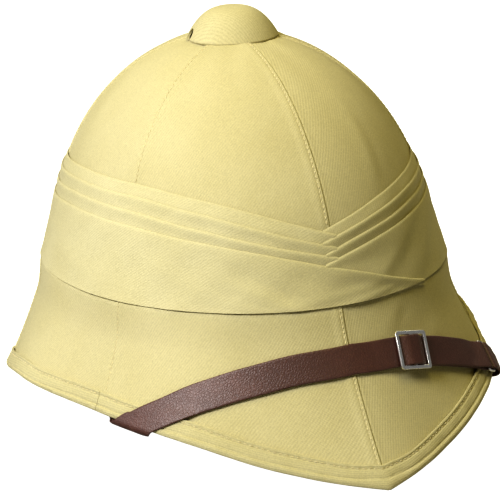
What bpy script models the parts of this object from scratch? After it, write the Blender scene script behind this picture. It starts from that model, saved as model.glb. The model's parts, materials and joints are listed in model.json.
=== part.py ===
"""A pith helmet: a stiff hollow body under six cloth gores, with a pleated scarf, a button and a chin strap.

Metres, +Z up, the front is -Y and the wearer's left is +X. The origin is on the surface that the helmet
rests on, under the middle of its bounding box. An azimuth is in degrees round the crown's axis, from the
front towards the wearer's right.
"""

import math
from collections import namedtuple
from functools import lru_cache

import bmesh
import bpy
from mathutils import Matrix, Vector

# The crown. Its foot is widened by the flare, and its top is flatter as the fullness grows.
CROWN_HALF_LENGTH = 0.1110
CROWN_HALF_WIDTH = 0.0933
CROWN_HEIGHT = 0.1213
CROWN_FLARE = 0.12
CROWN_FULLNESS = 2.5

# The brim falls from the crown's foot to the rim. The reach is the front peak's, beyond the crown's foot.
BRIM_DROP = 0.0859
BRIM_REACH = 0.0497
SIDE_ARCH = 0.0337
BRIM_START_SLOPE = 0.35
BRIM_CURVE = 1.5

# Walls and clearances
SHELL_WALL = 0.0025
COVER_WALL = 0.0010
BINDING_WALL = 0.0010
SCARF_WALL = 0.0010
GAP = 0.0003
HEM_GAP = 0.0005

# The binding's two legs, measured up the brim from the rim
BINDING_OUTER_LEG = 0.0150
BINDING_INNER_LEG = 0.0080
BINDING_JOINT = 62.0

# The scarf (pagri) wound round the crown's foot
SCARF_FOOT = 0.0850
SCARF_HEIGHT = 0.0600
SCARF_TUCK = 0.10
SCARF_LEAST_WIDTH = 0.0016
SCARF_SLOPE_ROOM = 0.0003
FIRST_PLEAT_RAMP = 12.0

# The ventilator button and the hole that it covers
BUTTON_RADIUS = 0.0248
BUTTON_HEIGHT = 0.0159
BUTTON_WALL = 0.0015
BUTTON_SINK = 0.0017
BUTTON_CURVE = 2.1
VENT_RADIUS = 0.0032
VENT_RISE = 0.0016
VENT_AZIMUTHS = (100.0, -100.0)
POST_RADIUS = 0.0070
POST_WALL = 0.0020
FLANGE_RADIUS = 0.0110
FLANGE_THICKNESS = 0.0015
EYE_CLEARANCE = 0.0009
COVER_EYE_RADIUS = 0.0120

# The chin strap and its metalwork
STRAP_WIDTH = 0.0160
STRAP_THICKNESS = 0.0012
RIM_ROLL = 0.0014
ANCHOR_AZIMUTH = 88.0
SLIDE_AZIMUTH = -14.8
RING_AZIMUTH = -40.0
SLIDE_LENGTH = 0.0215
SLIDE_BAR = 0.0020
SLIDE_THICKNESS = 0.0012
SLIDE_ROOM = 0.0006
SLIDE_CORNER = 0.0012
SLIDE_WINDOW_CORNER = 0.0004
RING_WIRE_RADIUS = 0.0009
RING_WINDOW = 0.0035
FOLD_BACK = 0.0060
STUD_HEAD_RADIUS = 0.0040
STUD_HEAD_THICKNESS = 0.0012
STUD_SHANK_RADIUS = 0.0015
STUD_SETBACK = 0.0070
STUD_CROWN_SHARE = 0.6
STUD_EDGE_SHARE = 0.4
ANCHOR_RAMP = 0.0160
RING_RAMP = 0.0120
LEAN_RUN = 0.0240
RING_BLEND = 0.0180

# Fineness of the faceted walls
COLUMN_STEP = 10
CROWN_ROWS = 8
BRIM_ROWS = 5
ROUND_STEPS = 24
SMALL_ROUND_STEPS = 12
LONG_STEP = 0.0085
RIM_STEP = 0.0030
STRAP_COLUMNS = 4
TAB_COLUMNS = 7
ROUTE_STEP = 0.5
SCARF_FRONT_STEPS = ((5, 7), (2.5, 4))
SCARF_END_ROOM = 0.8

# The rim, as shares of BRIM_REACH beyond the crown's foot and of SIDE_ARCH above the surface
RimRow = namedtuple("RimRow", "azimuth reach height")
RIM = (
    RimRow(0, 1.000, 0.00),
    RimRow(18, 0.730, 0.36),
    RimRow(40, 0.604, 0.79),
    RimRow(65, 0.440, 0.91),
    RimRow(90, 0.550, 1.00),
    RimRow(115, 0.521, 0.70),
    RimRow(150, 0.668, 0.09),
    RimRow(160, 0.695, 0.00),
    RimRow(180, 0.734, 0.00),
)

# The upper edges of the three pleats and of the wide fold, as shares of SCARF_HEIGHT above SCARF_FOOT.
# The ends from the wearer's right lie over those from the left, and the edges cross left of the front.
ScarfRow = namedtuple("ScarfRow", "azimuth first second third wide")
SCARF_RIGHT = (
    ScarfRow(-34, 0.30, 0.20, 0.10, -0.06),
    ScarfRow(-17, 0.42, 0.33, 0.25, 0.12),
    ScarfRow(-6, 0.53, 0.43, 0.35, 0.25),
    ScarfRow(3, 0.63, 0.52, 0.43, 0.34),
    ScarfRow(10, 0.71, 0.59, 0.49, 0.41),
    ScarfRow(20, 0.81, 0.69, 0.57, 0.49),
    ScarfRow(35, 0.91, 0.80, 0.67, 0.57),
    ScarfRow(60, 0.98, 0.88, 0.76, 0.64),
    ScarfRow(85, 0.98, 0.88, 0.77, 0.65),
    ScarfRow(120, 0.94, 0.84, 0.72, 0.60),
    ScarfRow(180, 0.93, 0.82, 0.70, 0.58),
)
SCARF_LEFT = (
    ScarfRow(-15, 0.46, 0.35, 0.25, 0.15),
    ScarfRow(-3, 0.62, 0.53, 0.43, 0.35),
    ScarfRow(6, 0.71, 0.62, 0.53, 0.44),
    ScarfRow(18, 0.81, 0.71, 0.61, 0.52),
    ScarfRow(35, 0.89, 0.79, 0.69, 0.59),
    ScarfRow(60, 0.94, 0.83, 0.73, 0.63),
    ScarfRow(90, 0.95, 0.84, 0.73, 0.63),
    ScarfRow(180, 0.93, 0.82, 0.70, 0.58),
)

PLEATS = ("first", "second", "third", "wide")

# The middle of the chin strap: 1 is the crown's foot outside, 0 the rim, and -1 the crown's foot inside
RouteRow = namedtuple("RouteRow", "azimuth climb")
STRAP_ROUTE = (
    RouteRow(0, 0.697),
    RouteRow(12, 0.640),
    RouteRow(23, 0.530),
    RouteRow(34, 0.360),
    RouteRow(42, 0.195),
    RouteRow(46, 0.108),
    RouteRow(50.5, -0.010),
    RouteRow(55, -0.160),
    RouteRow(60, -0.310),
    RouteRow(90, -1.060),
)

# On the wearer's left the strap runs down to the rim sooner by this factor
STRAP_LEFT_HASTE = 1.065

# How the long strap passes the slide: places in half lengths of the slide from its middle, and layers
SlideRow = namedtuple("SlideRow", "place layer")
SLIDE_WAY = (
    SlideRow(-2.20, "lower"),
    SlideRow(-1.20, "upper"),
    SlideRow(-0.80, "upper"),
    SlideRow(-0.28, "over_bar"),
    SlideRow(0.28, "over_bar"),
    SlideRow(0.80, "upper"),
    SlideRow(1.20, "upper"),
)

# Colour, roughness and metallic value of each material
FINISHES = {
    "pith": ((0.62, 0.50, 0.32, 1.0), 0.90, 0.0),
    "twill": ((0.78, 0.69, 0.42, 1.0), 0.85, 0.0),
    "scarf": ((0.80, 0.71, 0.44, 1.0), 0.85, 0.0),
    "leather": ((0.10, 0.035, 0.025, 1.0), 0.45, 0.0),
    "nickel": ((0.75, 0.75, 0.73, 1.0), 0.25, 1.0),
}

# What follows is worked out from the sizes above.
SCARF_SINGLE = GAP + SCARF_WALL
SCARF_DOUBLE = 2 * SCARF_SINGLE + SCARF_SLOPE_ROOM
BINDING_PROUD = HEM_GAP + BINDING_WALL
SHELL_DEPTH = COVER_WALL + GAP
SHELL_INNER_DEPTH = SHELL_DEPTH + SHELL_WALL
BINDING_INNER_DEPTH = SHELL_INNER_DEPTH + HEM_GAP + BINDING_WALL
FACET_SAG = CROWN_HALF_LENGTH * (1 + CROWN_FLARE) * (1 - math.cos(math.radians(COLUMN_STEP / 2)))
WRAP_THICKNESS = BINDING_PROUD + BINDING_INNER_DEPTH + FACET_SAG
RIM_BEND = RIM_ROLL * math.pi / 2
RIM_FLAT = WRAP_THICKNESS - 2 * RIM_ROLL
WRAP_LENGTH = 2 * RIM_BEND + RIM_FLAT
STRAP_MIDDLE = GAP + STRAP_THICKNESS / 2
STRAP_PITCH = STRAP_THICKNESS + GAP
SLIDE_WIDTH = STRAP_WIDTH + 2 * (SLIDE_ROOM + SLIDE_BAR)
SLIDE_LIFT = 2 * STRAP_PITCH + SLIDE_ROOM + SLIDE_THICKNESS / 2
RING_LIFT = STRAP_PITCH + GAP + RING_WIRE_RADIUS
FOLD_RADIUS = RING_WIRE_RADIUS + GAP + STRAP_THICKNESS / 2
ANCHOR_LIFT = STRAP_MIDDLE - BINDING_PROUD
GORE_NAMES = ("front_right", "side_right", "back_right", "back_left", "side_left", "front_left")
GORE_WIDTH = 360 / len(GORE_NAMES)


def wrapped(azimuth):
    return (azimuth + 180) % 360 - 180


@lru_cache(maxsize=None)
def table_slopes(rows, column):
    """Slopes at a table's rows that keep the curve through them smooth and without overshoot."""
    places = [row.azimuth for row in rows]
    values = [getattr(row, column) for row in rows]
    steps = [
        (values[i + 1] - values[i]) / (places[i + 1] - places[i]) for i in range(len(rows) - 1)
    ]
    slopes = [steps[0]]
    for before, after in zip(steps, steps[1:]):
        same_way = before * after > 0
        slopes.append(2 * before * after / (before + after) if same_way else 0.0)
    slopes.append(0.0)
    return places, values, slopes


def table_value(rows, column, azimuth):
    """A column's value at an azimuth, on a smooth curve through the table's rows."""
    places, values, slopes = table_slopes(rows, column)
    azimuth = min(max(azimuth, places[0]), places[-1])
    row = max(i for i in range(len(places) - 1) if places[i] <= azimuth)
    span = places[row + 1] - places[row]
    t = (azimuth - places[row]) / span
    return (
        values[row] * (1 + 2 * t) * (1 - t) ** 2
        + values[row + 1] * t * t * (3 - 2 * t)
        + slopes[row] * span * t * (1 - t) ** 2
        - slopes[row + 1] * span * t * t * (1 - t)
    )


def outward(azimuth):
    angle = math.radians(azimuth)
    return Vector((-math.sin(angle), -math.cos(angle), 0.0))


def sideways(azimuth):
    """The level direction in which the azimuth grows."""
    return outward(azimuth + 90)


def crown_radius(azimuth):
    angle = math.radians(azimuth)
    return (
        CROWN_HALF_LENGTH
        * CROWN_HALF_WIDTH
        / math.hypot(CROWN_HALF_WIDTH * math.cos(angle), CROWN_HALF_LENGTH * math.sin(angle))
    )


def foot_radius(azimuth):
    return crown_radius(azimuth) * (1 + CROWN_FLARE)


def rim_radius(azimuth):
    return foot_radius(azimuth) + BRIM_REACH * table_value(RIM, "reach", abs(wrapped(azimuth)))


def rim_height(azimuth):
    return SIDE_ARCH * table_value(RIM, "height", abs(wrapped(azimuth)))


def cover_point(azimuth, level):
    """The cover's outer face. Level is -1 at the rim, 0 at the crown's foot and 1 at the top."""
    if level >= 0:
        rise = math.radians(90 * level)
        climb = max(math.sin(rise), 0.0) ** (2 / CROWN_FULLNESS)
        radius = crown_radius(azimuth) * (math.cos(rise) + CROWN_FLARE * (1 - climb) ** 2)
        height = BRIM_DROP + CROWN_HEIGHT * climb
    else:
        fall = -level
        spread = BRIM_START_SLOPE * fall + (1 - BRIM_START_SLOPE) * fall**BRIM_CURVE
        foot = foot_radius(azimuth)
        radius = foot + (rim_radius(azimuth) - foot) * spread
        height = BRIM_DROP + (rim_height(azimuth) - BRIM_DROP) * fall
    return outward(azimuth) * radius + Vector((0.0, 0.0, height))


def cover_slopes(azimuth, level):
    """How the cover's outer face moves with the azimuth and with the level."""
    turn = 0.05
    step = 0.0005
    along = cover_point(azimuth + turn, level) - cover_point(azimuth - turn, level)
    up = cover_point(azimuth, level + step) - cover_point(azimuth, level - step)
    return along / (2 * turn), up / (2 * step)


def cover_normal(azimuth, level):
    along, up = cover_slopes(azimuth, level)
    normal = along.cross(up).normalized()
    return normal if normal.dot(outward(azimuth)) + normal.z > 0 else -normal


def layer_point(azimuth, level, depth):
    """A point at this depth under the cover's outer face; a negative depth stands proud of it."""
    return cover_point(azimuth, level) - cover_normal(azimuth, level) * depth


def level_at_height(azimuth, height):
    if height >= BRIM_DROP:
        climb = (height - BRIM_DROP) / CROWN_HEIGHT
        return math.degrees(math.asin(climb ** (CROWN_FULLNESS / 2))) / 90
    return (height - BRIM_DROP) / (BRIM_DROP - rim_height(azimuth))


def level_at_radius(azimuth, radius):
    """The level near the top where the cover has this radius."""
    return math.degrees(math.acos(radius / crown_radius(azimuth))) / 90


def hem_point(azimuth, depth, clearance):
    """Where the layer at this depth ends, at a clearance above the rim's height."""
    normal = cover_normal(azimuth, -1)
    lift = clearance + depth * normal.z
    fall = 1 - lift / (BRIM_DROP - rim_height(azimuth))
    return cover_point(azimuth, -fall) - normal * depth


def brim_depth(azimuth):
    """The brim's straight length from the rim to the crown's foot."""
    return (cover_point(azimuth, 0) - cover_point(azimuth, -1)).length


def level_above_rim(azimuth, distance):
    return distance / brim_depth(azimuth) - 1


def binding_foot_level(azimuth):
    """The level of the binding's lowest outer corner, a little beyond the rim."""
    overhang = BINDING_PROUD * cover_normal(azimuth, -1).z
    return -1 - overhang / (BRIM_DROP - rim_height(azimuth))


def finish(name):
    material = bpy.data.materials.get(name)
    if material is None:
        colour, roughness, metallic = FINISHES[name]
        material = bpy.data.materials.new(name)
        material.use_nodes = True
        material.diffuse_color = colour
        shader = material.node_tree.nodes["Principled BSDF"]
        shader.inputs["Base Color"].default_value = colour
        shader.inputs["Roughness"].default_value = roughness
        shader.inputs["Metallic"].default_value = metallic
    return material


def clear_scene():
    for thing in list(bpy.data.objects):
        bpy.data.objects.remove(thing, do_unlink=True)


def new_collection(name):
    collection = bpy.data.collections.new(name)
    bpy.context.scene.collection.children.link(collection)
    return collection


def add_object(name, data, collection, parent, material=None):
    thing = bpy.data.objects.new(name, data)
    collection.objects.link(thing)
    thing.parent = parent
    if material:
        data.materials.append(finish(material))
    return thing


def grid_wall(outer, inner, ring):
    """A closed wall, lofted between two grids of points that have the same rows and columns.

    Its sections are unlike each other, so its faces are made here. A ring joins its last row to its first.
    """
    mesh = bmesh.new()
    front = [[mesh.verts.new(point) for point in row] for row in outer]
    back = [[mesh.verts.new(point) for point in row] for row in inner]
    rows = len(front)
    columns = len(front[0])
    for i in range(rows if ring else rows - 1):
        k = (i + 1) % rows
        for j in range(columns - 1):
            mesh.faces.new((front[i][j], front[k][j], front[k][j + 1], front[i][j + 1]))
            mesh.faces.new((back[i][j], back[i][j + 1], back[k][j + 1], back[k][j]))
        mesh.faces.new((front[i][0], back[i][0], back[k][0], front[k][0]))
        mesh.faces.new((front[i][-1], front[k][-1], back[k][-1], back[i][-1]))
    if not ring:
        for j in range(columns - 1):
            mesh.faces.new((front[0][j], front[0][j + 1], back[0][j + 1], back[0][j]))
            mesh.faces.new((front[-1][j], back[-1][j], back[-1][j + 1], front[-1][j + 1]))
    bmesh.ops.recalc_face_normals(mesh, faces=mesh.faces)
    data = bpy.data.meshes.new("wall")
    mesh.to_mesh(data)
    mesh.free()
    data.shade_smooth()
    data.set_sharp_from_angle(angle=math.radians(40))
    return data


def turned(name, profile, steps, collection, parent, material):
    """A turned piece: a profile at +X, down its outer side and back up, swept about Z by a Screw."""
    data = bpy.data.meshes.new(name)
    data.from_pydata(
        [(radius, 0.0, height) for radius, height in profile],
        [(i, i + 1) for i in range(len(profile) - 1)],
        [],
    )
    piece = add_object(name, data, collection, parent, material)
    screw = piece.modifiers.new("turn", "SCREW")
    screw.axis = "Z"
    screw.steps = steps
    screw.render_steps = steps
    screw.use_merge_vertices = True
    screw.merge_threshold = 0.00001
    screw.use_smooth_shade = False
    return piece


def closed_turned(name, profile, steps, collection, parent, material):
    """A turned ring, whose profile is a closed loop that doesn't touch the axis."""
    piece = turned(name, profile + profile[:1], steps, collection, parent, material)
    weld = piece.modifiers.new("weld", "WELD")
    weld.merge_threshold = 0.00001
    return piece


def cut(piece, cutter):
    difference = piece.modifiers.new("cut", "BOOLEAN")
    difference.operation = "DIFFERENCE"
    difference.solver = "EXACT"
    difference.object = cutter


def rod_cutter(name, radius, length, matrix, collection, parent):
    """A round cutter along its own Z."""
    mesh = bmesh.new()
    bmesh.ops.create_cone(
        mesh, cap_ends=True, segments=SMALL_ROUND_STEPS, radius1=radius, radius2=radius, depth=length
    )
    data = bpy.data.meshes.new(name)
    mesh.to_mesh(data)
    mesh.free()
    cutter = add_object(name, data, collection, parent)
    cutter.matrix_local = matrix
    cutter.hide_render = True
    cutter.display_type = "WIRE"
    return cutter


def frame_matrix(x_axis, y_axis, z_axis, place):
    turn = Matrix((x_axis, y_axis, z_axis)).transposed().to_4x4()
    return Matrix.Translation(place) @ turn


def cover_levels(azimuth, eye_radius):
    """The rows of the body and the gores, from the eye at the top down to the last one above the hem."""
    crown = [1 - row / CROWN_ROWS for row in range(1, CROWN_ROWS + 1)]
    brim = [-row / BRIM_ROWS for row in range(1, BRIM_ROWS)]
    return [level_at_radius(azimuth, eye_radius)] + crown + brim


def wall_column(azimuth, eye_radius, depth):
    """One column of a layer from the eye to the hem, inside the binding's fold."""
    column = [layer_point(azimuth, level, depth) for level in cover_levels(azimuth, eye_radius)]
    column.append(hem_point(azimuth, depth, BINDING_WALL + GAP))
    return column


def make_shell(collection, parent):
    azimuths = range(0, 360, COLUMN_STEP)
    eye = POST_RADIUS + EYE_CLEARANCE
    outer = [wall_column(azimuth, eye, SHELL_DEPTH) for azimuth in azimuths]
    inner = [wall_column(azimuth, eye, SHELL_INNER_DEPTH) for azimuth in azimuths]
    return add_object("helmet_shell", grid_wall(outer, inner, True), collection, parent, "pith")


def make_cover_panel(number, collection, parent):
    """One gore, between two seams, with half the clearance at each seam."""
    first = number * GORE_WIDTH
    columns = round(GORE_WIDTH / COLUMN_STEP)
    outer = []
    inner = []
    for column in range(columns + 1):
        azimuth = first + column * COLUMN_STEP
        shift = sideways(azimuth) * (GAP / 2) * ((column == 0) - (column == columns))
        outer.append([point + shift for point in wall_column(azimuth, COVER_EYE_RADIUS, 0.0)])
        inner.append([point + shift for point in wall_column(azimuth, COVER_EYE_RADIUS, COVER_WALL)])
    name = "cover_panel_" + GORE_NAMES[number]
    return add_object(name, grid_wall(outer, inner, False), collection, parent, "twill")


def binding_section(azimuth):
    """The binding's outer and inner faces, from the outer leg's edge round the rim to the inner leg's."""
    outer_levels = [level_above_rim(azimuth, BINDING_OUTER_LEG * share) for share in (1, 0.5)]
    inner_level = level_above_rim(azimuth, BINDING_INNER_LEG)
    outside = [layer_point(azimuth, level, -BINDING_PROUD) for level in outer_levels]
    outside += [
        hem_point(azimuth, -BINDING_PROUD, 0.0),
        hem_point(azimuth, BINDING_INNER_DEPTH, 0.0),
        layer_point(azimuth, inner_level, BINDING_INNER_DEPTH),
    ]
    inside_depth = BINDING_INNER_DEPTH - BINDING_WALL
    inside = [layer_point(azimuth, level, -HEM_GAP) for level in outer_levels]
    inside += [
        hem_point(azimuth, -HEM_GAP, BINDING_WALL),
        hem_point(azimuth, inside_depth, BINDING_WALL),
        layer_point(azimuth, inner_level, inside_depth),
    ]
    return outside, inside


def make_binding(collection, parent):
    """The strip folded round the rim; its two ends meet near a side seam."""
    joint_turn = math.degrees(GAP / 2 / rim_radius(BINDING_JOINT))
    columns = [
        azimuth
        for azimuth in range(COLUMN_STEP * math.ceil(BINDING_JOINT / COLUMN_STEP), 720, COLUMN_STEP)
        if BINDING_JOINT < azimuth < BINDING_JOINT + 360
    ]
    azimuths = [BINDING_JOINT + joint_turn] + columns + [BINDING_JOINT + 360 - joint_turn]
    sections = [binding_section(azimuth) for azimuth in azimuths]
    data = grid_wall([outside for outside, _ in sections], [inside for _, inside in sections], False)
    return add_object("brim_binding", data, collection, parent, "twill")


def scarf_edge(side, pleat, azimuth):
    """The height of a pleat's upper edge, on the end that comes from this side."""
    if side == "right":
        share = table_value(SCARF_RIGHT, PLEATS[pleat], azimuth)
    else:
        share = table_value(SCARF_LEFT, PLEATS[pleat], -azimuth)
    return SCARF_FOOT + SCARF_HEIGHT * share


def scarf_lower_edge(side, pleat, azimuth):
    """How far down a pleat shows: to the highest of the edges that lie over it, or to the scarf's foot."""
    over = [SCARF_FOOT]
    for later in range(pleat, len(PLEATS)):
        if (later > pleat or side == "left") and azimuth > SCARF_RIGHT[0].azimuth:
            over.append(scarf_edge("right", later, azimuth))
        if later > pleat and azimuth < -SCARF_LEFT[0].azimuth:
            over.append(scarf_edge("left", later, azimuth))
    return max(over)


def scarf_width(side, pleat, azimuth):
    return scarf_edge(side, pleat, azimuth) - scarf_lower_edge(side, pleat, azimuth)


def scarf_end(side, pleat):
    """The azimuth where a pleat's end has run out under the pleats that cross it."""
    step = 0.25 if side == "left" else -0.25
    azimuth = -20.0 if side == "left" else 20.0
    while scarf_width(side, pleat, azimuth + step) > SCARF_LEAST_WIDTH:
        azimuth += step
    return azimuth


def scarf_section(side, pleat, azimuth):
    """A pleat's outer and inner points: its upper edge, where the next one covers it, and its tucked edge."""
    top = scarf_edge(side, pleat, azimuth)
    low = scarf_lower_edge(side, pleat, azimuth)
    tuck = SCARF_TUCK * (top - low)
    bottom = low - tuck if low > SCARF_FOOT else low
    lies_on_one = 1.0
    if pleat == 0:
        from_front = abs(azimuth) / FIRST_PLEAT_RAMP
        lies_on_one = max(0.0, 1.0 - from_front) if side == "right" else 0.0
    top_lift = SCARF_SINGLE + (SCARF_DOUBLE - SCARF_SINGLE) * lies_on_one
    outer = []
    inner = []
    for height, lift in ((top, top_lift), (bottom + tuck, SCARF_SINGLE), (bottom, SCARF_SINGLE)):
        level = level_at_height(azimuth, height)
        outer.append(layer_point(azimuth, level, -lift))
        inner.append(layer_point(azimuth, level, SCARF_WALL - lift))
    return outer, inner


def scarf_stations(pleat):
    """Where a pleat's sections stand, from its left end round the back to its right end."""
    all_round = set(range(-180, 181, COLUMN_STEP))
    for step, count in SCARF_FRONT_STEPS:
        all_round |= {step * i for i in range(-count, count + 1)}
    places = sorted(all_round, reverse=True)
    left_end = scarf_end("left", pleat)
    right_end = scarf_end("right", pleat)
    left = [left_end] + [a for a in places if a < left_end - SCARF_END_ROOM]
    right = [a for a in places if right_end + SCARF_END_ROOM < a < 180] + [right_end]
    return [("left", azimuth) for azimuth in left] + [("right", azimuth) for azimuth in right]


def make_scarf_pleat(pleat, collection, parent):
    """One fold of the scarf, once round the crown; its right end crosses over its left one at the front."""
    sections = [scarf_section(side, pleat, azimuth) for side, azimuth in scarf_stations(pleat)]
    data = grid_wall([outer for outer, _ in sections], [inner for _, inner in sections], False)
    name = "pagri_wide_fold" if PLEATS[pleat] == "wide" else f"pagri_pleat_{pleat + 1}"
    return add_object(name, data, collection, parent, "scarf")


def button_foot():
    return BRIM_DROP + CROWN_HEIGHT - BUTTON_SINK


def dome_height(radius, full_radius, full_height):
    return full_height * (1 - (radius / full_radius) ** BUTTON_CURVE)


def make_button(collection, cutters, parent):
    """The domed cap, a hollow turned wall with a notch for air at each side."""
    outer_shares = (0.0, 0.25, 0.5, 0.72, 0.9, 1.0)
    inner_shares = (0.95, 0.7, 0.4, 0.0)
    profile = [
        (BUTTON_RADIUS * share, dome_height(share, 1, BUTTON_HEIGHT)) for share in outer_shares
    ]
    inner_radius = BUTTON_RADIUS - BUTTON_WALL
    inner_height = BUTTON_HEIGHT - BUTTON_WALL
    profile.append((inner_radius, 0.0))
    profile += [
        (inner_radius * share, dome_height(share, 1, inner_height)) for share in inner_shares
    ]
    button = turned("vent_button", profile, ROUND_STEPS, collection, parent, "twill")
    button.location = (0.0, 0.0, button_foot())
    for azimuth in VENT_AZIMUTHS:
        place = outward(azimuth) * BUTTON_RADIUS + Vector((0.0, 0.0, button_foot() + VENT_RISE))
        matrix = frame_matrix(sideways(azimuth), Vector((0.0, 0.0, 1.0)), outward(azimuth), place)
        cutter = rod_cutter("vent_cutter", VENT_RADIUS, BUTTON_RADIUS, matrix, cutters, parent)
        cut(button, cutter)
    return button


def make_button_post(collection, parent):
    """The hidden tube that holds the button, with a flange under the body."""
    inner_radius = BUTTON_RADIUS - BUTTON_WALL
    inner_height = BUTTON_HEIGHT - BUTTON_WALL
    top = button_foot() + dome_height(POST_RADIUS, inner_radius, inner_height) - 2 * GAP
    side = 90
    level = level_at_radius(side, FLANGE_RADIUS)
    flange_top = layer_point(side, level, SHELL_INNER_DEPTH).z - GAP
    foot = flange_top - FLANGE_THICKNESS
    bore = POST_RADIUS - POST_WALL
    profile = [
        (bore, top),
        (POST_RADIUS, top),
        (POST_RADIUS, flange_top),
        (FLANGE_RADIUS, flange_top),
        (FLANGE_RADIUS, foot),
        (bore, foot),
    ]
    return closed_turned("button_post", profile, ROUND_STEPS, collection, parent, "nickel")


def wrap_point(azimuth, climb, lift):
    """A point of the way that the strap takes: up the brim outside, round the rim, and up the inside.

    The climb is a length: above 0 it is outside the rim, then it goes round it, and further down it is
    inside. The lift is the height above the binding's faces.
    """
    foot = binding_foot_level(azimuth)
    if climb >= 0:
        return layer_point(azimuth, foot + climb / brim_depth(azimuth), -BINDING_PROUD - lift)
    inside = -climb - WRAP_LENGTH
    if inside >= 0:
        depth = WRAP_THICKNESS - BINDING_PROUD + lift
        return layer_point(azimuth, foot + inside / brim_depth(azimuth), depth)
    normal = cover_normal(azimuth, foot)
    down = -cover_slopes(azimuth, foot)[1].normalized()
    flat = min(max(-climb - RIM_BEND, 0.0), RIM_FLAT)
    angle = (-climb - flat) / RIM_ROLL
    centre = layer_point(azimuth, foot, RIM_ROLL + flat - BINDING_PROUD)
    return centre + (normal * math.cos(angle) + down * math.sin(angle)) * (RIM_ROLL + lift)


def route_climb(azimuth):
    """How far above the rim the middle of the strap runs, as a length."""
    turn = azimuth if azimuth > 0 else -azimuth * STRAP_LEFT_HASTE
    return table_value(STRAP_ROUTE, "climb", turn) * brim_depth(azimuth)


def route_point(azimuth):
    return wrap_point(azimuth, route_climb(azimuth), 0.0)


@lru_cache(maxsize=None)
def route_lengths():
    """Azimuths along the strap's way, from the right anchor to the left one, and the lengths to them."""
    count = round(2 * ANCHOR_AZIMUTH / ROUTE_STEP)
    azimuths = [ANCHOR_AZIMUTH - ROUTE_STEP * i for i in range(count + 1)]
    lengths = [0.0]
    for before, after in zip(azimuths, azimuths[1:]):
        lengths.append(lengths[-1] + (route_point(after) - route_point(before)).length)
    return azimuths, lengths


def interpolated(x, xs, ys):
    for i in range(len(xs) - 1):
        if x <= xs[i + 1] or i == len(xs) - 2:
            return ys[i] + (ys[i + 1] - ys[i]) * (x - xs[i]) / (xs[i + 1] - xs[i])


def length_at(azimuth):
    azimuths, lengths = route_lengths()
    return interpolated(-azimuth, [-a for a in azimuths], lengths)


def strip_frame(length):
    """The azimuth and climb at a length along the strap's way, and how both change across the strap."""
    azimuths, lengths = route_lengths()
    azimuth = interpolated(length, lengths, azimuths)
    climb = route_climb(azimuth)
    turn = 0.2
    rise = 0.0002
    lower_turn = turn if azimuth > 0 else -turn
    along = wrap_point(azimuth - lower_turn, route_climb(azimuth - lower_turn), 0.0)
    along = (route_point(azimuth) - along) * (-1 if azimuth > 0 else 1)
    by_azimuth = (
        wrap_point(azimuth + turn, climb, 0.0) - wrap_point(azimuth - turn, climb, 0.0)
    ) / (2 * turn)
    by_climb = (
        wrap_point(azimuth, climb + rise, 0.0) - wrap_point(azimuth, climb - rise, 0.0)
    ) / (2 * rise)
    normal = by_azimuth.cross(by_climb).normalized()
    across = along.cross(normal).normalized()
    if across.dot(by_climb) < 0:
        across = -across
    aa = by_azimuth.dot(by_azimuth)
    ab = by_azimuth.dot(by_climb)
    bb = by_climb.dot(by_climb)
    ca = across.dot(by_azimuth)
    cb = across.dot(by_climb)
    divisor = aa * bb - ab * ab
    return azimuth, climb, (ca * bb - cb * ab) / divisor, (cb * aa - ca * ab) / divisor


def strip_point(length, across, lift):
    """A point on the strap's way: a length along it, a distance across it, and a lift above its bed."""
    azimuth, climb, azimuth_rate, climb_rate = strip_frame(length)
    return wrap_point(azimuth + across * azimuth_rate, climb + across * climb_rate, lift)


def strip_matrix(length, lift):
    """A frame on the strap's way: X along it, Y up across it, Z away from the body."""
    half = STRAP_WIDTH / 2
    small = 0.001
    along = (strip_point(length + small, 0.0, lift) - strip_point(length - small, 0.0, lift)).normalized()
    across = strip_point(length, half, lift) - strip_point(length, -half, lift)
    normal = along.cross(across).normalized()
    return frame_matrix(along, normal.cross(along), normal, strip_point(length, 0.0, lift))


def ring_point(length, across, lift):
    """A point near the ring, where the straps lie as flat as the ring and not round the rim."""
    ring = length_at(RING_AZIMUTH)
    flat = strip_matrix(ring, RING_LIFT) @ Vector((length - ring, across, lift - RING_LIFT))
    reach = ring_end() - ring
    away = max(ring - length, length - ring - reach, 0.0) / RING_BLEND
    share = min(1.0, away)
    share = share * share * (3 - 2 * share)
    return flat.lerp(strip_point(length, across, lift), share)


def strap_wall(profile, columns):
    """A strap whose middle follows a profile of lengths and lifts along the strap's way.

    Each row of the profile also has a slant: how far along the way its section leans for each metre across.
    """
    outer = []
    inner = []
    for i, (length, lift, slant) in enumerate(profile):
        before = profile[max(i - 1, 0)]
        after = profile[min(i + 1, len(profile) - 1)]
        run = Vector((after[0] - before[0], after[1] - before[1])).normalized()
        half = STRAP_THICKNESS / 2
        for side, rows in ((half, outer), (-half, inner)):
            row = []
            for column in range(columns):
                across = STRAP_WIDTH * (column / (columns - 1) - 0.5)
                row.append(ring_point(length - run.y * side + across * slant, across, lift + run.x * side))
            rows.append(row)
    return grid_wall(outer, inner, False)


def spaced(start, end, step):
    """Lengths from start to end, evenly spaced and about a step apart, without the end."""
    count = max(1, round(abs(end - start) / step))
    return [start + (end - start) * i / count for i in range(count)]


def ring_fold(centre, way):
    """The turn of a strap round a bar of the ring, from the upper layer to the lower one."""
    points = []
    for angle in (90, 45, 0, -45, -90):
        turn = math.radians(angle)
        reach = way * FOLD_RADIUS * math.cos(turn)
        points.append((centre + reach, RING_LIFT + FOLD_RADIUS * math.sin(turn), 0.0))
    return points


def ring_end():
    """The length along the way of the ring's far bar, which holds the tab."""
    return length_at(RING_AZIMUTH) + RING_WINDOW + 2 * RING_WIRE_RADIUS


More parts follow.
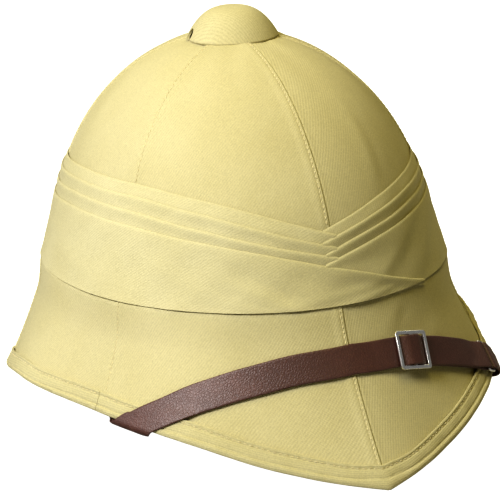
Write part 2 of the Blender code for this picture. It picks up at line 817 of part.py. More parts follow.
def rim_slant(length):
    """The slant of a section that runs parallel to the rim."""
    step = 0.001
    climbs = [route_climb(strip_frame(length + side * step)[0]) for side in (-1, 1)]
    return -strip_frame(length)[3] * 2 * step / (climbs[1] - climbs[0])


def length_at_climb(climb, way):
    """The length along the way where its middle is at this climb, on the side that way names."""
    azimuths, lengths = route_lengths()
    side = [(a, s) for a, s in zip(azimuths, lengths) if a * way > 0]
    if way < 0:
        side.reverse()
    climbs = [route_climb(a) for a, _ in side]
    return interpolated(climb, climbs, [s for _, s in side])


def anchor_lift(length, way):
    """The lift of a strap's hidden run: on the body under the stud, and on the binding near the rim."""
    flat_end = length_at(way * ANCHOR_AZIMUTH) + way * 2 * STUD_SETBACK
    share = min(1.0, max(0.0, way * (length - flat_end) / ANCHOR_RAMP))
    return ANCHOR_LIFT + (STRAP_MIDDLE - ANCHOR_LIFT) * share


def make_chin_strap(collection, parent):
    """The long strap: from the right anchor, round the front, through the slide and back from the ring."""
    anchor = length_at(ANCHOR_AZIMUTH)
    bends = (WRAP_LENGTH, WRAP_LENGTH - RIM_BEND / 2, WRAP_LENGTH - RIM_BEND, RIM_BEND, RIM_BEND / 2, 0.0)
    wrap = [length_at_climb(-travelled, 1) for travelled in bends]
    profile = [
        (length, anchor_lift(length, 1), 0.0) for length in spaced(anchor, wrap[0] - LEAN_RUN, LONG_STEP)
    ]
    for length in spaced(wrap[0] - LEAN_RUN, wrap[0], LONG_STEP):
        share = (length - wrap[0]) / LEAN_RUN + 1
        profile.append((length, anchor_lift(length, 1), share * rim_slant(length)))
    profile += [(length, STRAP_MIDDLE, rim_slant(length)) for length in wrap]
    lean_end = wrap[-1] + LEAN_RUN
    for length in reversed(spaced(lean_end, wrap[-1], LONG_STEP)):
        share = (lean_end - length) / LEAN_RUN
        profile.append((length, STRAP_MIDDLE, share * rim_slant(wrap[-1])))
    upper = STRAP_MIDDLE + STRAP_PITCH
    over_bar = SLIDE_LIFT + SLIDE_THICKNESS / 2 + GAP + STRAP_THICKNESS / 2
    lifts = {"lower": STRAP_MIDDLE, "upper": upper, "over_bar": over_bar}
    slide = length_at(SLIDE_AZIMUTH)
    at_slide = [(slide + row.place * SLIDE_LENGTH / 2, lifts[row.layer], 0.0) for row in SLIDE_WAY]
    ring = length_at(RING_AZIMUTH)
    near_ring = ring - RING_RAMP
    first = at_slide[0][0]
    last = at_slide[-1][0]
    profile += [(length, STRAP_MIDDLE, 0.0) for length in spaced(lean_end, first, LONG_STEP)[1:]]
    profile += at_slide
    profile += [(length, upper, 0.0) for length in spaced(last, near_ring, LONG_STEP)[1:]]
    profile.append((near_ring, upper, 0.0))
    profile += ring_fold(ring, 1)
    profile += [(length, STRAP_MIDDLE, 0.0) for length in spaced(near_ring, slide, LONG_STEP)]
    profile.append((slide, STRAP_MIDDLE, 0.0))
    data = strap_wall(profile, STRAP_COLUMNS)
    return add_object("chin_strap", data, collection, parent, "leather")


def make_ring_tab(collection, parent):
    """The short strap from the ring's far bar round the rim to the left anchor."""
    bar = ring_end()
    anchor = length_at(-ANCHOR_AZIMUTH)
    rim_end = length_at_climb(-WRAP_LENGTH, -1) + STRAP_WIDTH
    upper = STRAP_MIDDLE + STRAP_PITCH
    profile = [(length, anchor_lift(length, -1), 0.0) for length in spaced(anchor, rim_end, LONG_STEP)]
    for length in spaced(rim_end, bar + FOLD_BACK, RIM_STEP):
        share = (length - bar - FOLD_BACK) / (rim_end - bar - FOLD_BACK)
        profile.append((length, upper + (STRAP_MIDDLE - upper) * share, 0.0))
    profile.append((bar + FOLD_BACK, upper, 0.0))
    profile += ring_fold(bar, -1)
    profile.append((bar + FOLD_BACK / 2, STRAP_MIDDLE, 0.0))
    data = strap_wall(profile, TAB_COLUMNS)
    return add_object("ring_tab", data, collection, parent, "leather")


def flat_curve(name, loops, thickness):
    """A flat plate from closed outlines; an outline inside another is a hole."""
    data = bpy.data.curves.new(name, "CURVE")
    data.dimensions = "2D"
    data.fill_mode = "BOTH"
    data.extrude = thickness / 2
    for loop in loops:
        spline = data.splines.new("POLY")
        spline.points.add(len(loop) - 1)
        for point, (x, y) in zip(spline.points, loop):
            point.co = (x, y, 0.0, 1.0)
        spline.use_cyclic_u = True
    return data


def rounded_rectangle(middle, length, width, radius, corner_steps):
    points = []
    corners = ((1, 1, 0), (-1, 1, 90), (-1, -1, 180), (1, -1, 270))
    for side, up, start in corners:
        for step in range(corner_steps + 1):
            angle = math.radians(start + 90 * step / corner_steps)
            x = middle + side * (length / 2 - radius) + radius * math.cos(angle)
            y = up * (width / 2 - radius) + radius * math.sin(angle)
            points.append((x, y))
    return points


def make_slide(collection, parent):
    """The flat slide: two windows and a middle bar, which the strap passes over."""
    window = (SLIDE_LENGTH - 3 * SLIDE_BAR) / 2
    shift = (window + SLIDE_BAR) / 2
    inner_width = SLIDE_WIDTH - 2 * SLIDE_BAR
    loops = [rounded_rectangle(0.0, SLIDE_LENGTH, SLIDE_WIDTH, SLIDE_CORNER, 3)]
    for middle in (-shift, shift):
        loops.append(rounded_rectangle(middle, window, inner_width, SLIDE_WINDOW_CORNER, 1))
    data = flat_curve("strap_slide", loops, SLIDE_THICKNESS)
    slide = add_object("strap_slide", data, collection, parent, "nickel")
    slide.matrix_local = strip_matrix(length_at(SLIDE_AZIMUTH), SLIDE_LIFT)
    return slide


def make_ring(collection, parent):
    """The wire ring at the rim, a rounded rectangle."""
    data = bpy.data.curves.new("strap_ring", "CURVE")
    data.dimensions = "3D"
    data.bevel_depth = RING_WIRE_RADIUS
    data.bevel_resolution = 2
    length = RING_WINDOW + 2 * RING_WIRE_RADIUS
    width = STRAP_WIDTH + 2 * (GAP + RING_WIRE_RADIUS)
    loop = rounded_rectangle(length / 2, length, width, RING_WIRE_RADIUS, 2)
    spline = data.splines.new("POLY")
    spline.points.add(len(loop) - 1)
    for point, (x, y) in zip(spline.points, loop):
        point.co = (x, y, 0.0, 1.0)
    spline.use_cyclic_u = True
    ring = add_object("strap_ring", data, collection, parent, "nickel")
    ring.matrix_local = strip_matrix(length_at(RING_AZIMUTH), RING_LIFT)
    return ring


def stud_place(way):
    """The stud's frame, on the strap's face inside the body, with Z towards the head hollow."""
    length = length_at(way * ANCHOR_AZIMUTH) + way * STUD_SETBACK
    on_strap = strip_point(length, 0.0, ANCHOR_LIFT + STRAP_THICKNESS / 2 + GAP)
    off_strap = strip_point(length, 0.0, ANCHOR_LIFT + STRAP_THICKNESS / 2 + 2 * GAP)
    inward = (off_strap - on_strap).normalized()
    x_axis = inward.orthogonal().normalized()
    return frame_matrix(x_axis, inward.cross(x_axis), inward, on_strap)


def make_anchor_stud(side, way, straps, collection, cutters, parent):
    """A stud through the strap's end and the body, with its head inside."""
    reach = GAP + STRAP_THICKNESS + GAP + SHELL_WALL
    profile = [
        (0.0, STUD_HEAD_THICKNESS),
        (STUD_CROWN_SHARE * STUD_HEAD_RADIUS, STUD_HEAD_THICKNESS),
        (STUD_HEAD_RADIUS, STUD_EDGE_SHARE * STUD_HEAD_THICKNESS),
        (STUD_HEAD_RADIUS, 0.0),
        (STUD_SHANK_RADIUS, 0.0),
        (STUD_SHANK_RADIUS, -reach),
        (0.0, -reach),
    ]
    name = "anchor_stud_" + side
    stud = turned(name, profile, SMALL_ROUND_STEPS, collection, parent, "nickel")
    matrix = stud_place(way)
    stud.matrix_local = matrix
    radius = (STUD_SHANK_RADIUS + GAP) / math.cos(math.pi / SMALL_ROUND_STEPS)
    cutter = rod_cutter("stud_cutter_" + side, radius, 4 * reach, matrix, cutters, parent)
    for piece in straps:
        cut(piece, cutter)
    return stud


def make_helmet():
    clear_scene()
    parts = new_collection("pith_helmet")
    cutters = new_collection("cutters")
    axis = bpy.data.objects.new("crown_axis", None)
    parts.objects.link(axis)
    front = hem_point(0, -BINDING_PROUD, 0.0).y
    rear = hem_point(180, -BINDING_PROUD, 0.0).y
    axis.location = (0.0, -(front + rear) / 2, 0.0)
    shell = make_shell(parts, axis)
    for number in range(len(GORE_NAMES)):
        make_cover_panel(number, parts, axis)
    make_binding(parts, axis)
    for pleat in range(len(PLEATS)):
        make_scarf_pleat(pleat, parts, axis)
    make_button(parts, cutters, axis)
    make_button_post(parts, axis)
    strap = make_chin_strap(parts, axis)
    make_slide(parts, axis)
    make_ring(parts, axis)
    tab = make_ring_tab(parts, axis)
    make_anchor_stud("right", 1, (strap, shell), parts, cutters, axis)
    make_anchor_stud("left", -1, (tab, shell), parts, cutters, axis)


make_helmet()
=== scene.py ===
"""The looks of the pith helmet: fine cloth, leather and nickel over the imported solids, in a plain studio.

Metres, +Z up, the front is -Y and the wearer's left is +X. An azimuth is in degrees round the crown's axis,
from the front towards the wearer's right.
"""

import json
import math
from collections import namedtuple
from functools import lru_cache

import bmesh
import bpy
from mathutils import Matrix, Vector

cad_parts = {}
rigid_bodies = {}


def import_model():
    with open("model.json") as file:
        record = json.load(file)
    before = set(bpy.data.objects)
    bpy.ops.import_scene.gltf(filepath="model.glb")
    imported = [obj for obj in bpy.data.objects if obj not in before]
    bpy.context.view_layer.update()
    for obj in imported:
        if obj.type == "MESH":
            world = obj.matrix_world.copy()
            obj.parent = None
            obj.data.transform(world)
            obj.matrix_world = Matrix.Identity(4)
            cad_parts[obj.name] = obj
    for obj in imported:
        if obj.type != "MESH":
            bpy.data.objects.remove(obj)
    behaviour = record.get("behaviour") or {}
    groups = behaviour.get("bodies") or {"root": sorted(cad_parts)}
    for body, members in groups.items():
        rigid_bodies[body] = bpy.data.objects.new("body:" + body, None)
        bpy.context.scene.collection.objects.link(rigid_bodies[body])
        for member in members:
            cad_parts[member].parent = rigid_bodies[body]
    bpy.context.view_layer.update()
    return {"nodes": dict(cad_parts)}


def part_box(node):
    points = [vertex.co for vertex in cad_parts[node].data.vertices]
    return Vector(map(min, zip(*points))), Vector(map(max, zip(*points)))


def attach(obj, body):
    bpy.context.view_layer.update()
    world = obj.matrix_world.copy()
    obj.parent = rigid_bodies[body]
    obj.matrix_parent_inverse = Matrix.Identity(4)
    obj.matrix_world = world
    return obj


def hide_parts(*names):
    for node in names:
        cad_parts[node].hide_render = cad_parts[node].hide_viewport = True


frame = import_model()

# The crown, the brim and the walls, as in the model
CROWN_HALF_LENGTH = 0.1110
CROWN_HALF_WIDTH = 0.0933
CROWN_HEIGHT = 0.1213
CROWN_FLARE = 0.12
CROWN_FULLNESS = 2.5
BRIM_DROP = 0.0859
BRIM_REACH = 0.0497
SIDE_ARCH = 0.0337
BRIM_START_SLOPE = 0.35
BRIM_CURVE = 1.5
GAP = 0.0003
SHELL_DEPTH = 0.0013
SHELL_INNER_DEPTH = 0.0038
TAPE_PROUD = 0.0015
TAPE_WALL = 0.0010
TAPE_INNER_DEPTH = 0.0053
TAPE_OUTER_LEG = 0.0102
TAPE_TIP_EXTRA = 0.0022
TAPE_SIDE_LESS = 0.0014
TAPE_CREASE = 0.0064
TAPE_TUCK = 0.0009
TAPE_INNER_LEG = 0.0080
TAPE_ROUND = 0.0008
TAPE_STITCH = 0.0019
TAPE_JOINT = 60.8

# The scarf
SCARF_FOOT = 0.0850
SCARF_HEIGHT = 0.0600
SCARF_LOW = 0.0012
SCARF_HIGH = 0.0021
SCARF_CLOTH = 0.0006
SCARF_FOLD = 0.0007

# The button
BUTTON_RADIUS = 0.0248
BUTTON_HEIGHT = 0.0159
BUTTON_WALL = 0.0015
BUTTON_SINK = 0.0017
BUTTON_CURVE = 2.9
VENT_RADIUS = 0.0034
VENT_RISE = 0.0018
VENT_AZIMUTHS = (100.0, -100.0)

# The strap and its metalwork
STRAP_WIDTH = 0.0160
STRAP_THICKNESS = 0.0012
RIM_ROLL = 0.0007
ANCHOR_AZIMUTH = 88.0
SLIDE_AZIMUTH = -14.8
RING_AZIMUTH = -38.8
SLIDE_LENGTH = 0.0215
SLIDE_BAR = 0.0021
SLIDE_THICKNESS = 0.0012
SLIDE_ROOM = 0.00015
RING_WIRE_RADIUS = 0.0007
RING_WINDOW = 0.0035
FOLD_BACK = 0.0060
STUD_SETBACK = 0.0070
ANCHOR_RAMP = 0.0160
RING_RAMP = 0.0120
RING_BLEND = 0.0180

RimRow = namedtuple("RimRow", "azimuth reach height")
RIM = (
    RimRow(0, 1.000, 0.00),
    RimRow(18, 0.730, 0.36),
    RimRow(40, 0.604, 0.79),
    RimRow(65, 0.440, 0.91),
    RimRow(90, 0.550, 1.00),
    RimRow(115, 0.521, 0.70),
    RimRow(150, 0.668, 0.09),
    RimRow(160, 0.695, 0.00),
    RimRow(180, 0.734, 0.00),
)
ScarfRow = namedtuple("ScarfRow", "azimuth first second third wide")
SCARF_RIGHT = (
    ScarfRow(-34, 0.30, 0.20, 0.10, -0.06),
    ScarfRow(-17, 0.42, 0.33, 0.25, 0.12),
    ScarfRow(-6, 0.53, 0.43, 0.35, 0.25),
    ScarfRow(3, 0.63, 0.52, 0.43, 0.34),
    ScarfRow(10, 0.71, 0.59, 0.49, 0.41),
    ScarfRow(20, 0.81, 0.69, 0.57, 0.49),
    ScarfRow(35, 0.91, 0.80, 0.67, 0.57),
    ScarfRow(60, 0.98, 0.88, 0.76, 0.64),
    ScarfRow(85, 0.98, 0.88, 0.77, 0.65),
    ScarfRow(120, 0.94, 0.84, 0.72, 0.60),
    ScarfRow(180, 0.93, 0.82, 0.70, 0.58),
)
SCARF_LEFT = (
    ScarfRow(-15, 0.46, 0.35, 0.25, 0.15),
    ScarfRow(-3, 0.62, 0.53, 0.43, 0.35),
    ScarfRow(6, 0.71, 0.62, 0.53, 0.44),
    ScarfRow(18, 0.81, 0.71, 0.61, 0.52),
    ScarfRow(35, 0.89, 0.79, 0.69, 0.59),
    ScarfRow(60, 0.94, 0.83, 0.73, 0.63),
    ScarfRow(90, 0.95, 0.84, 0.73, 0.63),
    ScarfRow(180, 0.93, 0.82, 0.70, 0.58),
)
PLEATS = ("first", "second", "third", "wide")
RouteRow = namedtuple("RouteRow", "azimuth climb")
STRAP_ROUTE = (
    RouteRow(0, 0.697),
    RouteRow(12, 0.640),
    RouteRow(23, 0.530),
    RouteRow(33.4, 0.360),
    RouteRow(41.2, 0.190),
    RouteRow(45.0, 0.100),
    RouteRow(49.2, -0.010),
    RouteRow(53.8, -0.160),
    RouteRow(60, -0.310),
    RouteRow(90, -1.060),
)
STRAP_LEFT_HASTE = 1.065
STRAP_DROP = 0.0009
RIM_DROP = 0.0008

BRIM_MIDDLE = (TAPE_INNER_DEPTH - TAPE_PROUD) / 2
WRAP_THICKNESS = TAPE_PROUD + TAPE_INNER_DEPTH
STRAP_MIDDLE = GAP + STRAP_THICKNESS / 2
STRAP_PITCH = STRAP_THICKNESS + GAP
SLIDE_WIDTH = STRAP_WIDTH + 2 * (SLIDE_ROOM + SLIDE_BAR)
SLIDE_LIFT = 2 * STRAP_PITCH + 0.0006 + SLIDE_THICKNESS / 2
RING_LIFT = STRAP_PITCH + GAP + RING_WIRE_RADIUS
FOLD_RADIUS = RING_WIRE_RADIUS + GAP + STRAP_THICKNESS / 2
RIM_BEND = RIM_ROLL * math.pi / 2
RIM_FLAT = WRAP_THICKNESS - 2 * RIM_ROLL
WRAP_LENGTH = 2 * RIM_BEND + RIM_FLAT
button_low, button_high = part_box("button_post")
AXIS = Vector(((button_low.x + button_high.x) / 2, (button_low.y + button_high.y) / 2, 0.0))


# Shape of the surfaces


def wrapped(azimuth):
    return (azimuth + 180) % 360 - 180


@lru_cache(maxsize=None)
def table_slopes(rows, column):
    places = [row.azimuth for row in rows]
    values = [getattr(row, column) for row in rows]
    steps = [(values[i + 1] - values[i]) / (places[i + 1] - places[i]) for i in range(len(rows) - 1)]
    slopes = [steps[0]]
    for before, after in zip(steps, steps[1:]):
        slopes.append(2 * before * after / (before + after) if before * after > 0 else 0.0)
    slopes.append(0.0)
    return places, values, slopes


def table_value(rows, column, azimuth):
    places, values, slopes = table_slopes(rows, column)
    azimuth = min(max(azimuth, places[0]), places[-1])
    row = max(i for i in range(len(places) - 1) if places[i] <= azimuth)
    span = places[row + 1] - places[row]
    t = (azimuth - places[row]) / span
    return (
        values[row] * (1 + 2 * t) * (1 - t) ** 2
        + values[row + 1] * t * t * (3 - 2 * t)
        + slopes[row] * span * t * (1 - t) ** 2
        - slopes[row + 1] * span * t * t * (1 - t)
    )


def outward(azimuth):
    angle = math.radians(azimuth)
    return Vector((-math.sin(angle), -math.cos(angle), 0.0))


def crown_radius(azimuth):
    angle = math.radians(azimuth)
    return (
        CROWN_HALF_LENGTH
        * CROWN_HALF_WIDTH
        / math.hypot(CROWN_HALF_WIDTH * math.cos(angle), CROWN_HALF_LENGTH * math.sin(angle))
    )


@lru_cache(maxsize=None)
def rim_values(azimuth):
    """The crown's radius, and the foot's radius, the rim's radius and the rim's height."""
    crown = crown_radius(azimuth)
    foot = crown * (1 + CROWN_FLARE)
    turn = abs(wrapped(azimuth))
    reach = BRIM_REACH * table_value(RIM, "reach", turn)
    return crown, foot, foot + reach, SIDE_ARCH * table_value(RIM, "height", turn)


def cover_point(azimuth, level):
    """The cover's outer face. Level is -1 at the rim, 0 at the crown's foot and 1 at the top."""
    crown, foot, rim, arch = rim_values(azimuth)
    if level >= 0:
        rise = math.radians(90 * level)
        climb = max(math.sin(rise), 0.0) ** (2 / CROWN_FULLNESS)
        radius = crown * (math.cos(rise) + CROWN_FLARE * (1 - climb) ** 2)
        height = BRIM_DROP + CROWN_HEIGHT * climb
    else:
        fall = -level
        radius = foot + (rim - foot) * (BRIM_START_SLOPE * fall + (1 - BRIM_START_SLOPE) * fall**BRIM_CURVE)
        height = BRIM_DROP + (arch - BRIM_DROP) * fall
    angle = math.radians(azimuth)
    return Vector((AXIS.x - math.sin(angle) * radius, AXIS.y - math.cos(angle) * radius, height))


def cover_slopes(azimuth, level):
    turn = 0.05
    step = 0.0005
    along = cover_point(azimuth + turn, level) - cover_point(azimuth - turn, level)
    up = cover_point(azimuth, level + step) - cover_point(azimuth, level - step)
    return along / (2 * turn), up / (2 * step)


@lru_cache(maxsize=None)
def cover_normal(azimuth, level):
    along, up = cover_slopes(azimuth, level)
    normal = along.cross(up).normalized()
    return normal if normal.dot(outward(azimuth)) + normal.z > 0 else -normal


def layer_point(azimuth, level, depth):
    """A point at this depth under the cover's outer face; a negative depth stands proud of it."""
    return cover_point(azimuth, level) - cover_normal(azimuth, level) * depth


def level_at_height(azimuth, height):
    if height >= BRIM_DROP:
        climb = (height - BRIM_DROP) / CROWN_HEIGHT
        return math.degrees(math.asin(climb ** (CROWN_FULLNESS / 2))) / 90
    return (height - BRIM_DROP) / (BRIM_DROP - rim_values(azimuth)[3])


def level_at_radius(azimuth, radius):
    return math.degrees(math.acos(radius / crown_radius(azimuth))) / 90


def brim_depth(azimuth):
    return (cover_point(azimuth, 0) - cover_point(azimuth, -1)).length


def level_above_rim(azimuth, distance):
    return distance / brim_depth(azimuth) - 1


def hem_level(azimuth, depth, clearance):
    """The level where the layer at this depth is a clearance above the rim's height."""
    lift = clearance + depth * cover_normal(azimuth, -1).z
    return lift / (BRIM_DROP - rim_values(azimuth)[3]) - 1


def smooth(t):
    t = min(1.0, max(0.0, t))
    return t * t * (3 - 2 * t)


def bump(distance, width):
    """A soft ridge, 1 in its middle and 0 about a width and a half away."""
    return math.exp(-((distance / width) ** 2))


# Making pieces


def new_object(name, data):
    thing = bpy.data.objects.new(name, data)
    bpy.context.scene.collection.objects.link(thing)
    return thing


def add_piece(name, data, material, nodes):
    piece = new_object(name, data)
    data.materials.append(material)
    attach(piece, "root")
    if nodes:
        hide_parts(*nodes)
    return piece


def swept_mesh(name, loops, places, ring):
    """A closed mesh through closed loops of points. Places are the loops' cloth coordinates, in metres."""
    size = len(loops[0])
    count = len(loops)
    points = [point for loop in loops for point in loop]
    faces = []
    corners = []
    for i in range(count if ring else count - 1):
        k = (i + 1) % count
        for j in range(size):
            m = (j + 1) % size
            faces.append((i * size + j, k * size + j, k * size + m, i * size + m))
            corners.append((places[i][j], places[i + 1][j], places[i + 1][j + 1], places[i][j + 1]))
    if not ring:
        for i, way in ((0, 1), (count - 1, -1)):
            faces.append(tuple(i * size + j for j in range(size))[::way])
            corners.append(tuple(places[i][j] for j in range(size))[::way])
    return cloth_mesh(name, points, faces, corners)


def swept_cloth(name, loops, mark):
    """An open swept mesh, laid on the cloth along the loops' marked point and round each loop."""
    along = run_lengths([loop[mark] for loop in loops])
    places = [[(place, length) for length in loop_lengths(loop)] for place, loop in zip(along, loops)]
    return swept_mesh(name, loops, places, False)


def cloth_mesh(name, points, faces, corners):
    """A mesh with its faces' corners placed on the cloth, in metres."""
    data = bpy.data.meshes.new(name)
    data.from_pydata(points, [], faces)
    layer = data.uv_layers.new(name="cloth")
    layer.data.foreach_set("uv", [value for face in corners for corner in face for value in corner])
    tidy_mesh(data)
    return data


def tidy_mesh(data):
    mesh = bmesh.new()
    mesh.from_mesh(data)
    bmesh.ops.recalc_face_normals(mesh, faces=mesh.faces)
    mesh.to_mesh(data)
    mesh.free()
    data.shade_smooth()
    data.set_sharp_from_angle(angle=math.radians(50))


def loop_lengths(loop):
    lengths = [0.0]
    for before, after in zip(loop, list(loop[1:]) + [loop[0]]):
        lengths.append(lengths[-1] + (Vector(after) - Vector(before)).length)
    return lengths


def run_lengths(points):
    lengths = [0.0]
    for before, after in zip(points, points[1:]):
        lengths.append(lengths[-1] + (after - before).length)
    return lengths


def spread(start, end, count):
    return [start + (end - start) * i / (count - 1) for i in range(count)]


# Materials


def new_material(name, colour, roughness, metallic=0.0):
    material = bpy.data.materials.new(name)
    material.use_nodes = True
    shader = material.node_tree.nodes["Principled BSDF"]
    shader.inputs["Base Color"].default_value = (*colour, 1.0)
    shader.inputs["Roughness"].default_value = roughness
    shader.inputs["Metallic"].default_value = metallic
    return material, material.node_tree, shader


def add_node(tree, kind, **values):
    node = tree.nodes.new(kind)
    for key, value in values.items():
        if key in node.inputs:
            node.inputs[key].default_value = value
        else:
            setattr(node, key, value)
    return node


def mixed(tree, factor, first, second):
    """A colour between two; each is a colour or a socket, and so is the factor."""
    node = tree.nodes.new("ShaderNodeMix")
    node.data_type = "RGBA"
    for socket, value in ((node.inputs[0], factor), (node.inputs[6], first), (node.inputs[7], second)):
        if isinstance(value, bpy.types.NodeSocket):
            tree.links.new(value, socket)
        else:
            socket.default_value = value if isinstance(value, float) else (*value, 1.0)
    return node.outputs[2]


def ranged(tree, value, low, high, to_low, to_high):
    node = add_node(tree, "ShaderNodeMapRange")
    tree.links.new(value, node.inputs["Value"])
    for key, number in (("From Min", low), ("From Max", high), ("To Min", to_low), ("To Max", to_high)):
        node.inputs[key].default_value = number
    return node.outputs["Result"]


def noise(tree, vector, scale, detail, roughness=0.5):
    node = add_node(tree, "ShaderNodeTexNoise", Scale=scale, Detail=detail, Roughness=roughness)
    tree.links.new(vector, node.inputs["Vector"])
    return node.outputs["Fac"]


def object_place(tree):
    return add_node(tree, "ShaderNodeTexCoord").outputs["Object"]


def add_relief(tree, shader, reliefs):
    """Bumps on the shader's normal, one over another, from rows of a height, a strength and a distance."""
    before = None
    for height, strength, distance in reliefs:
        relief = add_node(tree, "ShaderNodeBump", Strength=strength, Distance=distance)
        tree.links.new(height, relief.inputs["Height"])
        if before:
            tree.links.new(before.outputs["Normal"], relief.inputs["Normal"])
        before = relief
    tree.links.new(before.outputs["Normal"], shader.inputs["Normal"])


def cloth_lines(tree, angle, pitch, wobble):
    """Diagonal lines of a weave on the cloth coordinates: 0 in the furrows and 1 on the ridges."""
    place = add_node(tree, "ShaderNodeUVMap", uv_map="cloth")
    turn = add_node(tree, "ShaderNodeMapping", vector_type="POINT")
    turn.inputs["Rotation"].default_value = (0.0, 0.0, math.radians(angle))
    tree.links.new(place.outputs["UV"], turn.inputs["Vector"])
    wave = add_node(tree, "ShaderNodeTexWave", wave_type="BANDS", bands_direction="X", wave_profile="SIN")
    wave.inputs["Scale"].default_value = math.pi / 10 / pitch
    wave.inputs["Distortion"].default_value = wobble
    wave.inputs["Detail"].default_value = 1.0
    wave.inputs["Detail Scale"].default_value = 2.0
    tree.links.new(turn.outputs["Vector"], wave.inputs["Vector"])
    return wave.outputs["Fac"]


def cloth_material(name, colour, angle, pitch, shade):
    """Cotton twill: fine diagonal ridges, uneven yarn and soft differences of tone."""
    material, tree, shader = new_material(name, colour, 0.88)
    links = tree.links
    place = object_place(tree)
    lines = cloth_lines(tree, angle, pitch, 1.6)
    cross = cloth_lines(tree, angle - 78, pitch * 0.7, 1.6)
    yarn = noise(tree, place, 1300.0, 3.0, 0.65)
    cloud = noise(tree, place, 22.0, 3.0, 0.55)
    dark = tuple(value * shade for value in colour)
    pale = tuple(min(1.0, value * 1.12) for value in colour)
    worn = tuple(value * factor for value, factor in zip(colour, (0.93, 0.92, 0.86)))
    tone = mixed(tree, ranged(tree, cloud, 0.35, 0.65, 0.0, 1.0), worn, colour)
    twill = mixed(tree, ranged(tree, lines, 0.0, 1.0, 0.42, 0.0), tone, dark)
    weave = mixed(tree, ranged(tree, cross, 0.0, 1.0, 0.09, 0.0), twill, dark)
    thin = noise(tree, place, 620.0, 2.0, 0.6)
    slub = mixed(tree, ranged(tree, thin, 0.50, 0.25, 0.0, 0.32), weave, dark)
    speck = mixed(tree, ranged(tree, yarn, 0.45, 0.75, 0.0, 0.7), slub, pale)
    links.new(speck, shader.inputs["Base Color"])
    links.new(ranged(tree, yarn, 0.3, 0.7, 0.95, 0.80), shader.inputs["Roughness"])
    add_relief(tree, shader, ((lines, 0.22, 0.0002), (cross, 0.07, 0.0002), (yarn, 0.22, 0.0002)))
    shader.inputs["Specular IOR Level"].default_value = 0.25
    shader.inputs["Sheen Weight"].default_value = 0.10
    shader.inputs["Sheen Roughness"].default_value = 0.5
    return material


def leather_material(name, colour):
    """Smooth finished leather with a fine grain, paler where it rubs."""
    material, tree, shader = new_material(name, colour, 0.42)
    links = tree.links
    place = object_place(tree)
    cells = add_node(tree, "ShaderNodeTexVoronoi", feature="DISTANCE_TO_EDGE", Scale=720.0, Randomness=1.0)
    links.new(place, cells.inputs["Vector"])
    grain = ranged(tree, cells.outputs["Distance"], 0.0, 0.25, 0.0, 1.0)
    fine = noise(tree, place, 2600.0, 2.0, 0.6)
    cloud = noise(tree, place, 45.0, 3.0, 0.6)
    worn = tuple(min(1.0, value * 1.7 + 0.01) for value in colour)
    tone = mixed(tree, ranged(tree, cloud, 0.40, 0.75, 0.0, 0.55), colour, worn)
    furrow = tuple(value * 0.5 for value in colour)
    pebbled = mixed(tree, ranged(tree, grain, 0.0, 1.0, 0.36, 0.0), tone, furrow)
    links.new(pebbled, shader.inputs["Base Color"])
    links.new(ranged(tree, fine, 0.3, 0.7, 0.44, 0.58), shader.inputs["Roughness"])
    add_relief(tree, shader, ((grain, 0.4, 0.00022), (fine, 0.15, 0.0002)))
    shader.inputs["Specular IOR Level"].default_value = 0.95
    shader.inputs["Coat Weight"].default_value = 0.15
    shader.inputs["Coat Roughness"].default_value = 0.45
    return material


def nickel_material(name):
    """Nickel plate with faint handling marks."""
    material, tree, shader = new_material(name, (0.74, 0.73, 0.70), 0.22, 1.0)
    place = object_place(tree)
    cloud = noise(tree, place, 160.0, 3.0, 0.6)
    fine = noise(tree, place, 1400.0, 2.0, 0.5)
    tree.links.new(ranged(tree, cloud, 0.3, 0.75, 0.24, 0.36), shader.inputs["Roughness"])
    colour = mixed(tree, ranged(tree, cloud, 0.35, 0.75, 0.0, 0.6), (0.88, 0.87, 0.85), (0.68, 0.66, 0.62))
    tree.links.new(colour, shader.inputs["Base Color"])
    add_relief(tree, shader, ((fine, 0.01, 0.00003),))
    return material


def pith_material(name):
    """The body's plain pressed fibre, as it shows inside."""
    material, tree, shader = new_material(name, (0.62, 0.50, 0.32), 0.9)
    links = tree.links
    place = object_place(tree)
    stretch = add_node(tree, "ShaderNodeMapping")
    stretch.inputs["Scale"].default_value = (1.0, 1.0, 0.35)
    links.new(place, stretch.inputs["Vector"])
    fibre = noise(tree, stretch.outputs["Vector"], 700.0, 4.0, 0.65)
    cloud = noise(tree, place, 22.0, 4.0, 0.6)
    tone = mixed(tree, ranged(tree, cloud, 0.35, 0.7, 0.0, 1.0), (0.66, 0.54, 0.35), (0.54, 0.42, 0.26))
    matted = mixed(tree, ranged(tree, fibre, 0.5, 0.75, 0.0, 0.5), tone, (0.40, 0.30, 0.17))
    links.new(matted, shader.inputs["Base Color"])
    links.new(ranged(tree, fibre, 0.3, 0.7, 0.82, 0.97), shader.inputs["Roughness"])
    add_relief(tree, shader, ((fibre, 0.5, 0.0004),))
    return material


def floor_material(name):
    """A pale floor that shows a soft shadow and gives little light back."""
    material, tree, shader = new_material(name, (0.4, 0.4, 0.4), 0.9)
    place = object_place(tree)
    cloud = noise(tree, place, 3.0, 2.0)
    tone = mixed(tree, cloud, (0.42, 0.42, 0.415), (0.40, 0.40, 0.395))
    tree.links.new(tone, shader.inputs["Base Color"])
    shader.inputs["Specular IOR Level"].default_value = 0.1
    shader.inputs["Emission Color"].default_value = (1.0, 1.0, 1.0, 1.0)
    seen = add_node(tree, "ShaderNodeLightPath").outputs["Is Camera Ray"]
    tree.links.new(ranged(tree, seen, 0.0, 1.0, 0.0, FLOOR_GLOW), shader.inputs["Emission Strength"])
    return material


